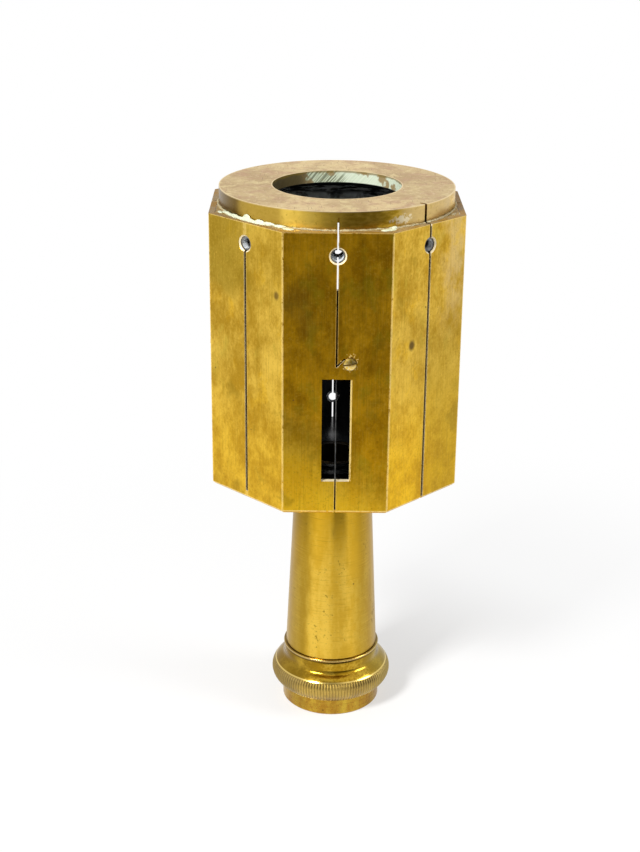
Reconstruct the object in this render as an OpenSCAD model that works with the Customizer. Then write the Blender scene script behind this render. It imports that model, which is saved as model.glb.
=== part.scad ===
// Surveyors cross: an octagonal sighting head of brass on a tapered staff socket.
// Millimetres, +Z up. The origin is the centre of the foot's lower face.
// The front face, which has its window low down, looks along -Y.

/* [Head case] */
// Width of the octagonal case across its flats
head_af = 80; // [72:1:100]
// Height of the case
head_h = 91.2; // [88:0.2:120]
// Thickness of the case's walls
case_wall = 2; // [1.6:0.1:3]
// Bevel along the case's lower outer edge
edge_bevel = 0.8; // [0.2:0.1:1]

/* [Slits and windows] */
// Width of the sighting slits over and under the windows
slit_w = 0.5; // [0.5:0.1:1.2]
// Width of the slits in the diagonal faces
diagonal_slit_w = 1; // [0.5:0.1:1.4]
// Width of the short slit that takes the hair's end
anchor_slit_w = 0.5; // [0.5:0.1:1]
// Depth of that slit
anchor_slit_depth = 1.4; // [1.2:0.1:1.6]
// Width of the hair windows
window_w = 8.8; // [6:0.2:12]
// Distance of each window from the near end of the case
window_edge = 11.1; // [8:0.1:13]
// Length of the windows under the upper slits
window_len_front = 34; // [26:0.2:36]
// Length of the windows over the lower slits
window_len_rear = 29.6; // [26:0.2:36]
// Metal left between a window and its slit
bridge = 3.8; // [3:0.1:6]
// Metal left below a closed diagonal slit
diagonal_end = 2.6; // [1:0.1:4]

/* [Peep bushes] */
// Bore of the peep bushes
bush_bore_d = 3.6; // [3:0.1:4.5]
// Wall of the peep bushes
bush_wall = 0.4; // [0.25:0.05:0.6]
// Length of the tubular bushes
bush_len = 7.3; // [4:0.1:8]
// Thickness of the lip at a tubular bush's inner end
bush_lip_t = 0.8; // [0.4:0.1:1.2]
// Width of that lip, round the clear hole
bush_lip_w = 0.45; // [0.2:0.05:1.2]
// Thickness of the lip of a short bush
flush_lip_t = 0.25; // [0.15:0.05:0.6]
// Width of that lip
flush_lip_w = 0.35; // [0.2:0.05:1]
// Depth of a bush's mouth below the face
bush_recess = 0.7; // [0.5:0.05:1]
// Chamfer round each bush hole
hole_chamfer = 0.5; // [0.2:0.1:0.8]
// Distance of the upper peep holes from the case's upper edge
peep_down = 7.2; // [6:0.1:12]
// The same distance on the diagonal faces
peep_down_diagonal = 6.6; // [6:0.1:12]
// Distance of the lower peep holes from the case's lower edge
peep_up_rear = 10.8; // [8:0.1:14]

/* [Sight hairs] */
// Diameter of the hairs
hair_d = 0.36; // [0.2:0.02:0.4]
// Depth of a hair's centre below the face where it leaves its slit
hair_depth = 0.4; // [0.35:0.05:0.6]
// Depth of a hair's centre in the notch on its way to the screw
hair_notch_depth = 1.2; // [0.8:0.1:1.6]
// Gap between a hair and the metal beside it
hair_gap = 0.07; // [0.05:0.01:0.2]
// Height of a hair's knotted end above the near end of the case
knot_up = 3; // [1:0.1:6]

/* [Clamp screws] */
// Diameter of a clamp screw's head
clamp_head_d = 4.2; // [3.4:0.1:5]
// Height of the head's rim
clamp_rim_h = 0.4; // [0.3:0.1:0.8]
// Rise of the dome on the head
clamp_dome_h = 0.5; // [0.3:0.1:0.8]
// Diameter of the screw
clamp_screw_d = 2; // [1.6:0.1:2.4]
// Length of the screw below its head
clamp_screw_len = 3.4; // [3:0.1:5]
// Distance of the screw from the slit, along the face
clamp_out = 4.1; // [3.8:0.1:5]
// Distance of the screw beyond the slit's end
clamp_up = 1.3; // [0.5:0.1:3]
// Direction from the screw in which its hair comes in, against the slit
clamp_hair_a = 142; // [130:1:150]
// Width of the screwdriver slots
driver_slot_w = 0.5; // [0.3:0.1:0.7]
// Depth of the screwdriver slots
driver_slot_depth = 0.5; // [0.2:0.05:0.6]

/* [Top ring] */
// How far the ring's rim stands in from the case's inner faces
ring_inset = 0.35; // [0.2:0.05:4]
// Height of the ring above the case
ring_h = 5.7; // [5:0.1:9]
// Thickness of the ring's flat plate
ring_plate = 3.9; // [2:0.1:4.4]
// Diameter of the opening in the ring
ring_bore_d = 41.3; // [30:0.1:50]
// Thickness of the ring's skirt
ring_skirt = 2.4; // [1.6:0.1:4]
// Metal left above the slit that is sawn into the ring's rim
rim_slit_web = 1.7; // [0.6:0.1:1.8]
// How far that slit reaches in past the skirt
rim_slit_over = 0.3; // [0.2:0.1:3]
// Thickness of the seat plate under the ring
seat_t = 2; // [1.5:0.1:3]
// Width of the seat plate's lip inside the ring's skirt
seat_lip = 2.2; // [1:0.1:4]
// Width and height of the solder seam round the ring
solder_w = 0.8; // [0.4:0.1:1.2]

/* [Base and boss] */
// Thickness of the base plate
base_t = 3; // [1.6:0.1:4]
// Diameter of the thread between the head and the socket
thread_d = 21; // [19:0.1:22]
// Length of that thread
thread_len = 4.5; // [4:0.1:8]
// Wall of the threaded boss
boss_wall = 2; // [1.5:0.1:3]
// Width of the boss's flange
boss_flange_w = 5; // [4.5:0.1:8]
// Thickness of the boss's flange
boss_flange_t = 1; // [1:0.1:1.5]
// Number of screws through the flange
boss_screw_count = 4; // [3:1:8]
// Metal left in the base plate below those screws
boss_screw_web = 0.5; // [0.3:0.1:0.8]
// Head diameter of those screws
boss_screw_head_d = 2.8; // [2.4:0.1:3.4]
// Head height of those screws
boss_screw_head_h = 0.9; // [0.6:0.1:1.4]
// Shank diameter of those screws
boss_screw_d = 1.6; // [1.2:0.1:2]

/* [Socket] */
// Height of the case's lower edge above the foot
socket_h = 88.3; // [80:0.1:120]
// Wall of the socket at its upper end
cone_top_wall = 1.55; // [1:0.05:3]
// Wall of the socket's end inside the collar
cone_end_wall = 1.2; // [0.8:0.1:2]
// Step from that end out to the socket's visible surface
cone_step = 0.45; // [0.3:0.05:0.9]
// Thickness of the spigot's shoulder
shoulder_t = 1.2; // [1:0.1:3]
// Length of the spigot's plug in the socket
plug_len = 6; // [4:0.1:10]
// How much thicker the plug's radius is than the thread's
plug_step = 0.8; // [0.5:0.1:2]
// Wall of the spigot
spigot_wall = 2.4; // [1.6:0.1:5]

/* [Foot and collar] */
// Bore of the foot, which takes the staff
staff_d = 26.8; // [24:0.1:32]
// Length of the foot's straight bore
staff_depth = 30; // [26:0.5:40]
// Height of the foot below the collar
foot_h = 6.3; // [4:0.1:10]
// Wall of the foot below the collar
foot_wall = 3.6; // [2.6:0.1:4]
// Wall of the foot's threaded part inside the collar
foot_thread_wall = 1.8; // [1.6:0.1:1.9]
// Wall of the foot's upper part inside the socket
foot_tail_wall = 0.85; // [0.6:0.05:0.9]
// Bevel round the foot's lower edges
foot_bevel = 0.4; // [0.2:0.1:1]
// How far the collar's bulge stands out from its neck
bulge_w = 4.42; // [3:0.02:6]
// Height of the collar
collar_h = 15.1; // [14:0.1:18]
// Height of the collar's widest part above its lower edge
bulge_up = 4.44; // [3:0.1:5]
// Half height of the ellipse that the collar's bulge follows
bulge_half_h = 7.54; // [6.5:0.1:8]
// Half width of that ellipse
bulge_half_w = 13.6; // [11:0.1:16]
// Wall of the collar's neck
neck_wall = 0.92; // [0.7:0.02:1.4]
// Radius of the bead on the collar's neck
bead_r = 0.5; // [0.3:0.1:0.8]
// Overlap of the collar's lip round the socket's end
collar_lip_h = 2.8; // [2:0.1:4]

/* [Fits] */
// Gap round a soldered or pressed piece
fit = 0.05; // [0.02:0.01:0.1]
// Running gap round a thread or a turning piece
running = 0.08; // [0.03:0.01:0.1]
// Gap between faces that turn on each other
face_gap = 0.15; // [0.1:0.05:0.3]

/* [Hidden] */
$fn = 96;
eps = 0.01;
// A length that reaches past any wall that it cuts
past = 1;
brass = "goldenrod";
dark_brass = "darkgoldenrod";
pale_metal = "silver";

// The faces are numbered from the front, each turned 45 degrees from the last
FRONT = 0;
FRONT_RIGHT = 1;
RIGHT = 2;
REAR_RIGHT = 3;
REAR = 4;
REAR_LEFT = 5;
LEFT = 6;
FRONT_LEFT = 7;

flat_r = head_af / 2;
inner_af = head_af - 2 * case_wall;
diagonal_bevel = 1.1 * edge_bevel;
head_top = socket_h + head_h;
ring_r = inner_af / 2 - ring_inset;
seat_r = ring_r - ring_skirt - seat_lip;
bush_r = bush_bore_d / 2 + bush_wall;
peep_r = bush_bore_d / 2 - bush_lip_w;
flush_peep_r = bush_bore_d / 2 - flush_lip_w;
bush_hole_r = bush_r + fit;
thread_r = thread_d / 2;
boss_r = thread_r + boss_wall;
boss_flange_r = boss_r + boss_flange_w;
boss_screw_ring_r = boss_r + boss_flange_w / 2;
boss_screw_depth = base_t - boss_screw_web;
clamp_hole_r = clamp_screw_d / 2 + running;
clamp_head_r = clamp_head_d / 2;
clamp_head_h = clamp_rim_h + clamp_dome_h;
clamp_dome_r = (clamp_head_r * clamp_head_r / clamp_dome_h + clamp_dome_h) / 2;
hair_r = hair_d / 2;
hair_bend_r = 1.15 * hair_r;
knot_r = (anchor_slit_w - fit) / 2;
notch_w = hair_d + 2 * hair_gap;

cone_top_z = socket_h - shoulder_t;
collar_z = foot_h + face_gap;
collar_top = collar_z + collar_h;
cone_shoulder_z = collar_top + face_gap;
cone_end_z = collar_top - collar_lip_h;
staff_r = staff_d / 2;
foot_r = staff_r + foot_wall;
foot_thread_r = staff_r + foot_thread_wall;
foot_tail_r = staff_r + foot_tail_wall;
cone_end_r = foot_tail_r + fit + cone_end_wall;
cone_base_r = cone_end_r + cone_step;
plug_r = thread_r + plug_step;
cone_top_r = plug_r + fit + cone_top_wall;
spigot_bore_r = thread_r - running - spigot_wall;
neck_r = cone_end_r + running + neck_wall;
collar_r = neck_r + bulge_w;
bulge_z = collar_z + bulge_up;

function slit_end(window_len) = window_edge + window_len + bridge;
// The clamp screw's place on its face
function clamp_point(window_len) = [clamp_out, slit_end(window_len) + clamp_up];
// A point on the ellipse of the collar's bulge, at an angle from its widest part
function bulge_point(a) = [
  collar_r - bulge_half_w * (1 - cos(a)),
  bulge_z + bulge_half_h * sin(a)
];
bulge_low_a = -asin(bulge_up / bulge_half_h);
bulge_high_a = acos(1 - (collar_r - neck_r) / bulge_half_w);
bulge_steps = 16;

module octagon(af, h) {
  rotate([0, 0, 22.5])
    cylinder(r = af / 2 / cos(22.5), h = h, $fn = 8);
}

// Puts children on a face: x runs along it, y goes inwards, z up from its lower edge
module on_face(k) {
  rotate([0, 0, 45 * k])
    translate([0, -flat_r, socket_h])
      children();
}

// The same, but upside down for a face that has its slit below its window
module on_sight_face(k, inverted) {
  on_face(k)
    translate([0, 0, inverted ? head_h : 0])
      mirror([0, 0, inverted ? 1 : 0])
        children();
}

// A bar from the face inwards, w wide, from z0 to z1
module wall_cut(w, z0, z1, depth = case_wall + past) {
  translate([-w / 2, -past, z0])
    cube([w, depth + past, z1 - z0]);
}

// A round hole into a face, at a point of it
module face_hole(point, r, depth) {
  translate([point[0], -past, point[1]])
    rotate([-90, 0, 0])
      cylinder(r = r, h = depth + past);
}

// A straight notch through the wall between two points of the hair
module notch(from, to) {
  run = to - from;
  translate([from[0], -past, from[2]])
    rotate([0, -atan2(run[2], run[0]), 0])
      translate([-notch_w / 2, 0, -notch_w / 2])
        cube([norm(run) + notch_w, case_wall + 2 * past, notch_w]);
}

// A straight length of hair between two points, with a round bend at its start
module hair_run(from, to) {
  run = to - from;
  translate(from) {
    sphere(r = hair_bend_r, $fn = 24);
    rotate([0, acos(run[2] / norm(run)), atan2(run[1], run[0])])
      cylinder(r = hair_r, h = norm(run), $fn = 24);
  }
}

// The hair's corners for a window's length, from its knot to its screw: it leaves its slit at
// the window's edge, passes behind the bridge and comes out through the slit beyond
function hair_points(window_len) =
  let (
    behind = case_wall + hair_bend_r + hair_gap,
    turn_z = slit_end(window_len) + notch_w / 2,
    screw = clamp_point(window_len),
    way = [cos(clamp_hair_a), sin(clamp_hair_a)],
    at_head = screw + (clamp_head_r + hair_r) * way,
    at_shank = screw + (clamp_hole_r + hair_bend_r) * way
  )
  [
    [0, anchor_slit_depth - knot_r - hair_gap, knot_up],
    [0, hair_depth, window_edge],
    [0, behind, window_edge + window_len - hair_bend_r],
    [0, behind, turn_z],
    [0, hair_notch_depth, turn_z],
    [at_head[0], hair_notch_depth, at_head[1]],
    [at_shank[0], hair_notch_depth, at_shank[1]]
  ];

// All that is cut in a face with a hair window: slit above, window below
module sight_cuts(window_len) {
  path = hair_points(window_len);
  wall_cut(slit_w, slit_end(window_len), head_h + past);
  wall_cut(window_w, window_edge, window_edge + window_len);
  wall_cut(anchor_slit_w, -past, window_edge + eps, anchor_slit_depth);
  notch(path[4], path[5]);
  notch(path[5], path[6]);
  face_hole(clamp_point(window_len), clamp_hole_r, case_wall + past);
}

module bush_hole(z) {
  face_hole([0, z], bush_hole_r, case_wall + past);
  translate([0, -eps, z])
    rotate([-90, 0, 0])
      cylinder(r1 = bush_hole_r + hole_chamfer, r2 = bush_hole_r, h = hole_chamfer);
}

// The bevels of neighbouring faces differ, so that four planes never meet in one point
module bevel_cuts() {
  for (k = [0:7]) {
    side = sqrt(2) * (k % 2 == 0 ? edge_bevel : diagonal_bevel);
    on_face(k)
      rotate([45, 0, 0])
        translate([-head_af / 2, -side / 2, -side / 2])
          cube([head_af, side, side]);
  }
}

module octagonal_case() {
  color(brass)
    difference() {
      translate([0, 0, socket_h])
        octagon(head_af, head_h);
      translate([0, 0, socket_h - past])
        octagon(inner_af, head_h + 2 * past);
      for (k = [FRONT, RIGHT])
        on_sight_face(k, false)
          sight_cuts(window_len_front);
      for (k = [REAR, LEFT])
        on_sight_face(k, true)
          sight_cuts(window_len_rear);
      on_face(FRONT_RIGHT)
        wall_cut(diagonal_slit_w, -past, head_h + past);
      for (k = [REAR_RIGHT, REAR_LEFT, FRONT_LEFT])
        on_face(k)
          wall_cut(diagonal_slit_w, diagonal_end, head_h - peep_down_diagonal);
      for (k = [FRONT, RIGHT])
        on_face(k)
          bush_hole(head_h - peep_down);
      for (k = [REAR, LEFT])
        on_face(k)
          bush_hole(peep_up_rear);
      for (k = [FRONT_RIGHT, REAR_RIGHT, REAR_LEFT, FRONT_LEFT])
        on_face(k)
          bush_hole(head_h - peep_down_diagonal);
      bevel_cuts();
    }
}

// A slot sawn into the ring's rim over face k, from z0 to z1
module rim_slot(k, z0, z1, depth) {
  w = k == FRONT_RIGHT ? diagonal_slit_w : slit_w;
  rotate([0, 0, 45 * k])
    translate([-w / 2, -ring_r - solder_w - past, z0])
      cube([w, depth + solder_w + past, z1 - z0]);
}

module top_ring() {
  color(brass)
    difference() {
      translate([0, 0, head_top])
        cylinder(r = ring_r, h = ring_h);
      translate([0, 0, head_top - past])
        cylinder(r = ring_bore_d / 2, h = ring_h + 2 * past);
      translate([0, 0, head_top - past])
        cylinder(r = ring_r - ring_skirt, h = ring_h - ring_plate + past);
      for (k = [FRONT, RIGHT])
        rim_slot(k, head_top - past, head_top + ring_h - rim_slit_web, ring_skirt + rim_slit_over);
      rim_slot(FRONT_RIGHT, head_top - past, head_top + ring_h + past, ring_skirt);
    }
}

module seat_plate() {
  color(dark_brass)
    difference() {
      translate([0, 0, head_top - seat_t])
        octagon(inner_af - 2 * fit, seat_t);
      translate([0, 0, head_top - seat_t - past])
        cylinder(r = seat_r, h = seat_t + 2 * past);
      rim_slot(FRONT, head_top - seat_t - past, head_top + past, ring_r - seat_r + past);
      for (k = [FRONT_RIGHT, RIGHT])
        rim_slot(k, head_top - seat_t - past, head_top + past, ring_skirt);
    }
}

module solder_seam() {
  color(pale_metal)
    difference() {
      translate([0, 0, head_top])
        rotate_extrude()
          polygon([[ring_r + eps, 0], [ring_r + solder_w, 0], [ring_r + eps, solder_w]]);
      rim_slot(FRONT, head_top - past, head_top + past, past);
      for (k = [FRONT_RIGHT, RIGHT])
        rim_slot(k, head_top + solder_w / 3, head_top + past, past);
    }
}

module base_plate() {
  color(dark_brass)
    difference() {
      translate([0, 0, socket_h])
        octagon(inner_af - 2 * fit, base_t);
      translate([0, 0, socket_h - past])
        cylinder(r = boss_r + fit, h = base_t + 2 * past);
      boss_screw_places(socket_h + base_t - boss_screw_depth)
        cylinder(r = boss_screw_d / 2 + fit, h = base_t);
    }
}

module boss_screw_places(z) {
  for (i = [0:boss_screw_count - 1])
    rotate([0, 0, 360 / boss_screw_count * (i + 0.5)])
      translate([boss_screw_ring_r, 0, z])
        children();
}

module threaded_boss() {
  color(dark_brass)
    difference() {
      union() {
        translate([0, 0, socket_h])
          cylinder(r = boss_r, h = thread_len + face_gap);
        translate([0, 0, socket_h + base_t])
          cylinder(r = boss_flange_r, h = boss_flange_t);
      }
      translate([0, 0, socket_h - past])
        cylinder(r = thread_r, h = thread_len + 3 * past);
      boss_screw_places(socket_h)
        cylinder(r = boss_screw_d / 2 + fit, h = base_t + boss_flange_t + past);
    }
}

module boss_screws() {
  color(brass)
    boss_screw_places(socket_h + base_t)
      difference() {
        union() {
          translate([0, 0, eps - boss_screw_depth])
            cylinder(r = boss_screw_d / 2, h = boss_screw_depth + boss_flange_t + eps, $fn = 32);
          translate([0, 0, boss_flange_t])
            cylinder(r = boss_screw_head_d / 2, h = boss_screw_head_h, $fn = 32);
        }
        translate([-boss_screw_head_d, -driver_slot_w / 2,
                   boss_flange_t + boss_screw_head_h - driver_slot_depth])
          cube([2 * boss_screw_head_d, driver_slot_w, past]);
      }
}

// A tube with a lip at its inner end. It is sawn open below as far as the lip, and above all
// the way where the face's slit goes on above the hole
module tubular_bush(k, z, sawn_above = true) {
  w = k % 2 == 0 ? slit_w : diagonal_slit_w;
  color(pale_metal)
    on_face(k)
      translate([0, bush_recess, z])
        difference() {
          rotate([-90, 0, 0])
            cylinder(r = bush_r, h = bush_len);
          rotate([-90, 0, 0])
            translate([0, 0, -past])
              cylinder(r = bush_bore_d / 2, h = bush_len - bush_lip_t + past);
          rotate([-90, 0, 0])
            cylinder(r = peep_r, h = bush_len + past);
          translate([-w / 2, -past, -bush_r - past])
            cube([w, bush_len - bush_lip_t + past, bush_r + past]);
          if (sawn_above)
            translate([-w / 2, -past, 0])
              cube([w, bush_len + 2 * past, bush_r + past]);
        }
}

// A short bush as long as the wall is thick, opened outwards, sawn on its upper side
module flush_bush(k, z) {
  flush_len = case_wall - bush_recess;
  color(pale_metal)
    on_face(k)
      translate([0, bush_recess, z])
        difference() {
          rotate([-90, 0, 0])
            cylinder(r = bush_r, h = flush_len);
          rotate([-90, 0, 0])
            translate([0, 0, -eps])
              cylinder(r1 = bush_bore_d / 2, r2 = flush_peep_r, h = flush_len - flush_lip_t + eps);
          rotate([-90, 0, 0])
            cylinder(r = flush_peep_r, h = flush_len + past);
          translate([-slit_w / 2, -past, 0])
            cube([slit_w, flush_len + 2 * past, bush_r + past]);
        }
}

module sight_hair(k, inverted, window_len) {
  path = hair_points(window_len);
  color("dimgray")
    on_sight_face(k, inverted) {
      union() {
        for (i = [0:len(path) - 2])
          hair_run(path[i], path[i + 1]);
        translate(path[0])
          sphere(r = knot_r, $fn = 24);
      }
    }
}

module clamp_screw(k, inverted, window_len) {
  color(brass)
    on_sight_face(k, inverted)
      translate([clamp_out, 0, clamp_point(window_len)[1]])
        rotate([-90, 0, 0])
          difference() {
            union() {
              translate([0, 0, -fit - clamp_rim_h])
                cylinder(r = clamp_head_r, h = clamp_rim_h);
              intersection() {
                translate([0, 0, -fit - clamp_head_h])
                  cylinder(r = clamp_head_r, h = clamp_head_h);
                translate([0, 0, clamp_dome_r - fit - clamp_head_h])
                  sphere(r = clamp_dome_r);
              }
              translate([0, 0, -fit - eps])
                cylinder(r = clamp_screw_d / 2, h = clamp_screw_len + eps);
            }
            rotate([0, 0, -10])
              translate([-clamp_head_d, -driver_slot_w / 2, -fit - clamp_head_h - past])
                cube([2 * clamp_head_d, driver_slot_w, driver_slot_depth + past]);
          }
}

module threaded_spigot() {
  color(dark_brass)
    difference() {
      union() {
        translate([0, 0, cone_top_z - plug_len])
          cylinder(r = plug_r, h = plug_len + shoulder_t / 2);
        translate([0, 0, cone_top_z])
          cylinder(r = cone_top_r, h = shoulder_t - face_gap);
        translate([0, 0, cone_top_z + eps])
          cylinder(r = thread_r - running, h = shoulder_t + thread_len);
      }
      translate([0, 0, cone_top_z - plug_len - past])
        cylinder(r = spigot_bore_r, h = plug_len + shoulder_t + thread_len + 3 * past);
    }
}

module socket_cone() {
  plug_seat_z = cone_top_z - plug_len - face_gap;
  color(brass)
    difference() {
      union() {
        translate([0, 0, cone_shoulder_z])
          cylinder(r1 = cone_base_r, r2 = cone_top_r, h = cone_top_z - cone_shoulder_z);
        translate([0, 0, cone_end_z])
          cylinder(r = cone_end_r, h = collar_lip_h + face_gap + eps);
      }
      translate([0, 0, cone_end_z - past])
        cylinder(r = foot_tail_r + fit, h = staff_depth + face_gap - cone_end_z + past);
      translate([0, 0, staff_depth + face_gap - eps])
        cylinder(r1 = staff_r, r2 = plug_r + fit,
                 h = plug_seat_z - staff_depth - face_gap + 2 * eps);
      translate([0, 0, plug_seat_z])
        cylinder(r = plug_r + fit, h = plug_len + face_gap + past);
    }
}

module foot_ferrule() {
  foot_end_z = cone_end_z - face_gap;
  color("peru")
    rotate_extrude()
      polygon([
        [staff_r + foot_bevel, 0], [foot_r - foot_bevel, 0], [foot_r, foot_bevel],
        [foot_r, foot_h], [foot_thread_r, foot_h], [foot_thread_r, foot_end_z],
        [foot_tail_r, foot_end_z], [foot_tail_r, staff_depth], [staff_r, staff_depth],
        [staff_r, foot_bevel]
      ]);
}

module knurled_collar() {
  bulge = [
    for (i = [0:bulge_steps])
      bulge_point(bulge_low_a + (bulge_high_a - bulge_low_a) * i / bulge_steps)
  ];
  bead = [
    for (a = [-90:22.5:90])
      [neck_r - bead_r / 2 + bead_r * cos(a), collar_top - bead_r + bead_r * sin(a)]
  ];
  lip_r = cone_end_r + running;
  thread_end_z = cone_end_z - face_gap;
  color(brass)
    rotate_extrude()
      polygon(concat(
        [[foot_thread_r + running, collar_z]],
        bulge,
        [[neck_r, collar_top - 3 * bead_r]],
        bead,
        [[lip_r, collar_top], [lip_r, thread_end_z], [foot_thread_r + running, thread_end_z]]
      ));
}

octagonal_case();
top_ring();
seat_plate();
solder_seam();
base_plate();
threaded_boss();
boss_screws();
tubular_bush(FRONT, head_h - peep_down);  // peep_bush_front
tubular_bush(FRONT_RIGHT, head_h - peep_down_diagonal);  // peep_bush_front_right
tubular_bush(RIGHT, head_h - peep_down);  // peep_bush_right
tubular_bush(REAR_RIGHT, head_h - peep_down_diagonal, false);  // peep_bush_rear_right
flush_bush(REAR, peep_up_rear);  // peep_bush_rear
tubular_bush(REAR_LEFT, head_h - peep_down_diagonal, false);  // peep_bush_rear_left
flush_bush(LEFT, peep_up_rear);  // peep_bush_left
tubular_bush(FRONT_LEFT, head_h - peep_down_diagonal, false);  // peep_bush_front_left
sight_hair(FRONT, false, window_len_front);  // sight_hair_front
sight_hair(RIGHT, false, window_len_front);  // sight_hair_right
sight_hair(REAR, true, window_len_rear);  // sight_hair_rear
sight_hair(LEFT, true, window_len_rear);  // sight_hair_left
clamp_screw(FRONT, false, window_len_front);  // clamp_screw_front
clamp_screw(RIGHT, false, window_len_front);  // clamp_screw_right
clamp_screw(REAR, true, window_len_rear);  // clamp_screw_rear
clamp_screw(LEFT, true, window_len_rear);  // clamp_screw_left
threaded_spigot();
socket_cone();
foot_ferrule();
knurled_collar();
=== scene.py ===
"""Looks of an old brass surveyors cross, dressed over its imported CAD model.

Lengths are in metres, in the CAD model's own frame: +Z is up, the origin is the centre of
the foot's lower face, and the front face looks along -Y.
"""

import logging
import math
from collections.abc import Callable, Iterator
from contextlib import contextmanager
from dataclasses import dataclass
from enum import Enum

import bmesh
import bpy
from mathutils import Matrix, Vector


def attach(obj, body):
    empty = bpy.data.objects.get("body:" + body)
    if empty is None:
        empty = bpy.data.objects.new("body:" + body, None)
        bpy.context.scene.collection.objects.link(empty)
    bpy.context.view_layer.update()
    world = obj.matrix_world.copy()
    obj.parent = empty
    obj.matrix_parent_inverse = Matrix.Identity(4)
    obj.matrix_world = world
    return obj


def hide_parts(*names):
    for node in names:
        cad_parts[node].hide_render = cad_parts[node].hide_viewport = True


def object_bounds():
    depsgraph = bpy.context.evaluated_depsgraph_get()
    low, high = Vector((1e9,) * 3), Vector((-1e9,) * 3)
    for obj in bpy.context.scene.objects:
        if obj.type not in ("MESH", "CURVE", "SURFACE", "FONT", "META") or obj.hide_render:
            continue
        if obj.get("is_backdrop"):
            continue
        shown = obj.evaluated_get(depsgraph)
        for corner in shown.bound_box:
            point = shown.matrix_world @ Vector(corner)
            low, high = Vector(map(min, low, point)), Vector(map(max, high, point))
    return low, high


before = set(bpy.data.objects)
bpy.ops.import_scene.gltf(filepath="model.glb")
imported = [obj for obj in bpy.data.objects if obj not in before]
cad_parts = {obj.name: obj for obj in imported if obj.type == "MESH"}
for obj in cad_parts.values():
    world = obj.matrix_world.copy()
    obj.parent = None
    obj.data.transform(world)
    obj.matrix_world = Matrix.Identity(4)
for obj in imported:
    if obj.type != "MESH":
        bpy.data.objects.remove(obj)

log = logging.getLogger("surveyors_cross")

MM = 0.001
EIGHTH_TURN = math.pi / 4
ORIGIN = (0.0, 0.0, 0.0)
UP = (0.0, 0.0, 1.0)
SEED_STEP = (17.3, -9.1, 5.7)
MERGE_WITHIN = 0.004 * MM

Color = tuple[float, float, float]
Duo = tuple[Color, Color]
Span = tuple[float, float]

GOLD: Color = (0.68, 0.41, 0.036)
LIGHT_GOLD: Color = (0.84, 0.55, 0.075)
DEEP_GOLD: Color = (0.46, 0.26, 0.012)
PALE_YELLOW: Color = (0.95, 0.72, 0.25)
OLIVE: Color = (0.33, 0.21, 0.010)
BROWN: Color = (0.27, 0.14, 0.010)
PATINA: Color = (0.68, 0.35, 0.005)
DEEP_PATINA: Color = (0.42, 0.20, 0.002)
UMBER: Color = (0.12, 0.07, 0.015)
# Near black, used only as painted shade in recesses and on hidden inner parts.
SHADE_BLACK: Color = (0.025, 0.018, 0.010)
TAN: Color = (0.60, 0.44, 0.20)
PALE_TAN: Color = (0.72, 0.54, 0.26)
CREAM: Color = (0.88, 0.76, 0.50)
ORANGE_GOLD: Color = (0.80, 0.44, 0.006)
GREEN_GOLD: Color = (0.58, 0.43, 0.050)
COPPER: Color = (0.42, 0.22, 0.025)
VERDIGRIS: Color = (0.46, 0.56, 0.36)
CHALK_GREEN: Color = (0.66, 0.72, 0.54)
LACQUER: Color = (0.020, 0.022, 0.024)
# Pale grey: painted sheen on the black inner walls, and dust specks on the lacquer.
DUST_AND_SHEEN: Color = (0.88, 0.94, 0.98)
WHITE: Color = (1.0, 1.0, 1.0)


class Face(Enum):
    """The head's faces, by their turn from the front in eighths."""

    FRONT = 0
    FRONT_RIGHT = 1
    RIGHT = 2
    REAR_RIGHT = 3
    REAR = 4
    REAR_LEFT = 5
    LEFT = 6
    FRONT_LEFT = 7

    @property
    def azimuth(self) -> float:
        """The face's turn from the front, in radians."""
        return self.value * EIGHTH_TURN

    @property
    def turn(self) -> int:
        """The face's turn from the front in eighths, from -3 to 4."""
        return self.value if self.value <= Face.REAR.value else self.value - len(Face)


class Signal:
    """A number that varies over a surface: a socket whose arithmetic adds Math nodes."""

    def __init__(self, shader: "Shader", socket: bpy.types.NodeSocket) -> None:
        """Wraps a socket.

        Args:
            shader: The shader that the socket belongs to.
            socket: The output that carries the number.
        """
        self.shader = shader
        self.socket = socket

    def __add__(self, other: "Number") -> "Signal":
        """Adds a number or signal."""
        return self.shader.math("ADD", self, other)

    def __radd__(self, other: "Number") -> "Signal":
        """Adds the signal to a number."""
        return self.shader.math("ADD", other, self)

    def __sub__(self, other: "Number") -> "Signal":
        """Takes a number or signal away."""
        return self.shader.math("SUBTRACT", self, other)

    def __rsub__(self, other: "Number") -> "Signal":
        """Takes the signal away from a number."""
        return self.shader.math("SUBTRACT", other, self)

    def __mul__(self, other: "Number") -> "Signal":
        """Multiplies by a number or signal."""
        return self.shader.math("MULTIPLY", self, other)

    def __rmul__(self, other: "Number") -> "Signal":
        """Multiplies a number by the signal."""
        return self.shader.math("MULTIPLY", other, self)

    def __truediv__(self, other: "Number") -> "Signal":
        """Divides by a number or signal."""
        return self.shader.math("DIVIDE", self, other)

    def __mod__(self, other: "Number") -> "Signal":
        """The remainder of a division."""
        return self.shader.math("MODULO", self, other)

    def __abs__(self) -> "Signal":
        """The size of the number without its sign."""
        return self.shader.math("ABSOLUTE", self)

    def equals(self, value: float) -> "Signal":
        """1 where the number is within 0.2 of a value, and 0 elsewhere."""
        return self.shader.math("COMPARE", self, value, 0.2)


Number = Signal | float | int
Paint = Color | bpy.types.NodeSocket
Coat = tuple[Number, Paint]


@dataclass(frozen=True)
class FacePlace:
    """Where a point of the head lies, seen from the face that is nearest to it.

    Attributes:
        along: Distance along the face from its middle line, to the right.
        depth: Distance of the point from the head's axis, square to the face.
        z: Height.
        turn: The face's turn from the front in eighths, from -4 to 4.
    """

    along: Signal
    depth: Signal
    z: Signal
    turn: Signal

    def on(self, side: Face) -> Signal:
        """1 on one of the faces; the rear one is at 4 eighths as well as at -4."""
        turn = abs(self.turn) if side is Face.REAR else self.turn
        return turn.equals(side.turn)

    def square_on(self) -> Signal:
        """1 on the front, right, rear and left faces."""
        return (abs(self.turn) % 2.0).equals(0.0)


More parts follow.
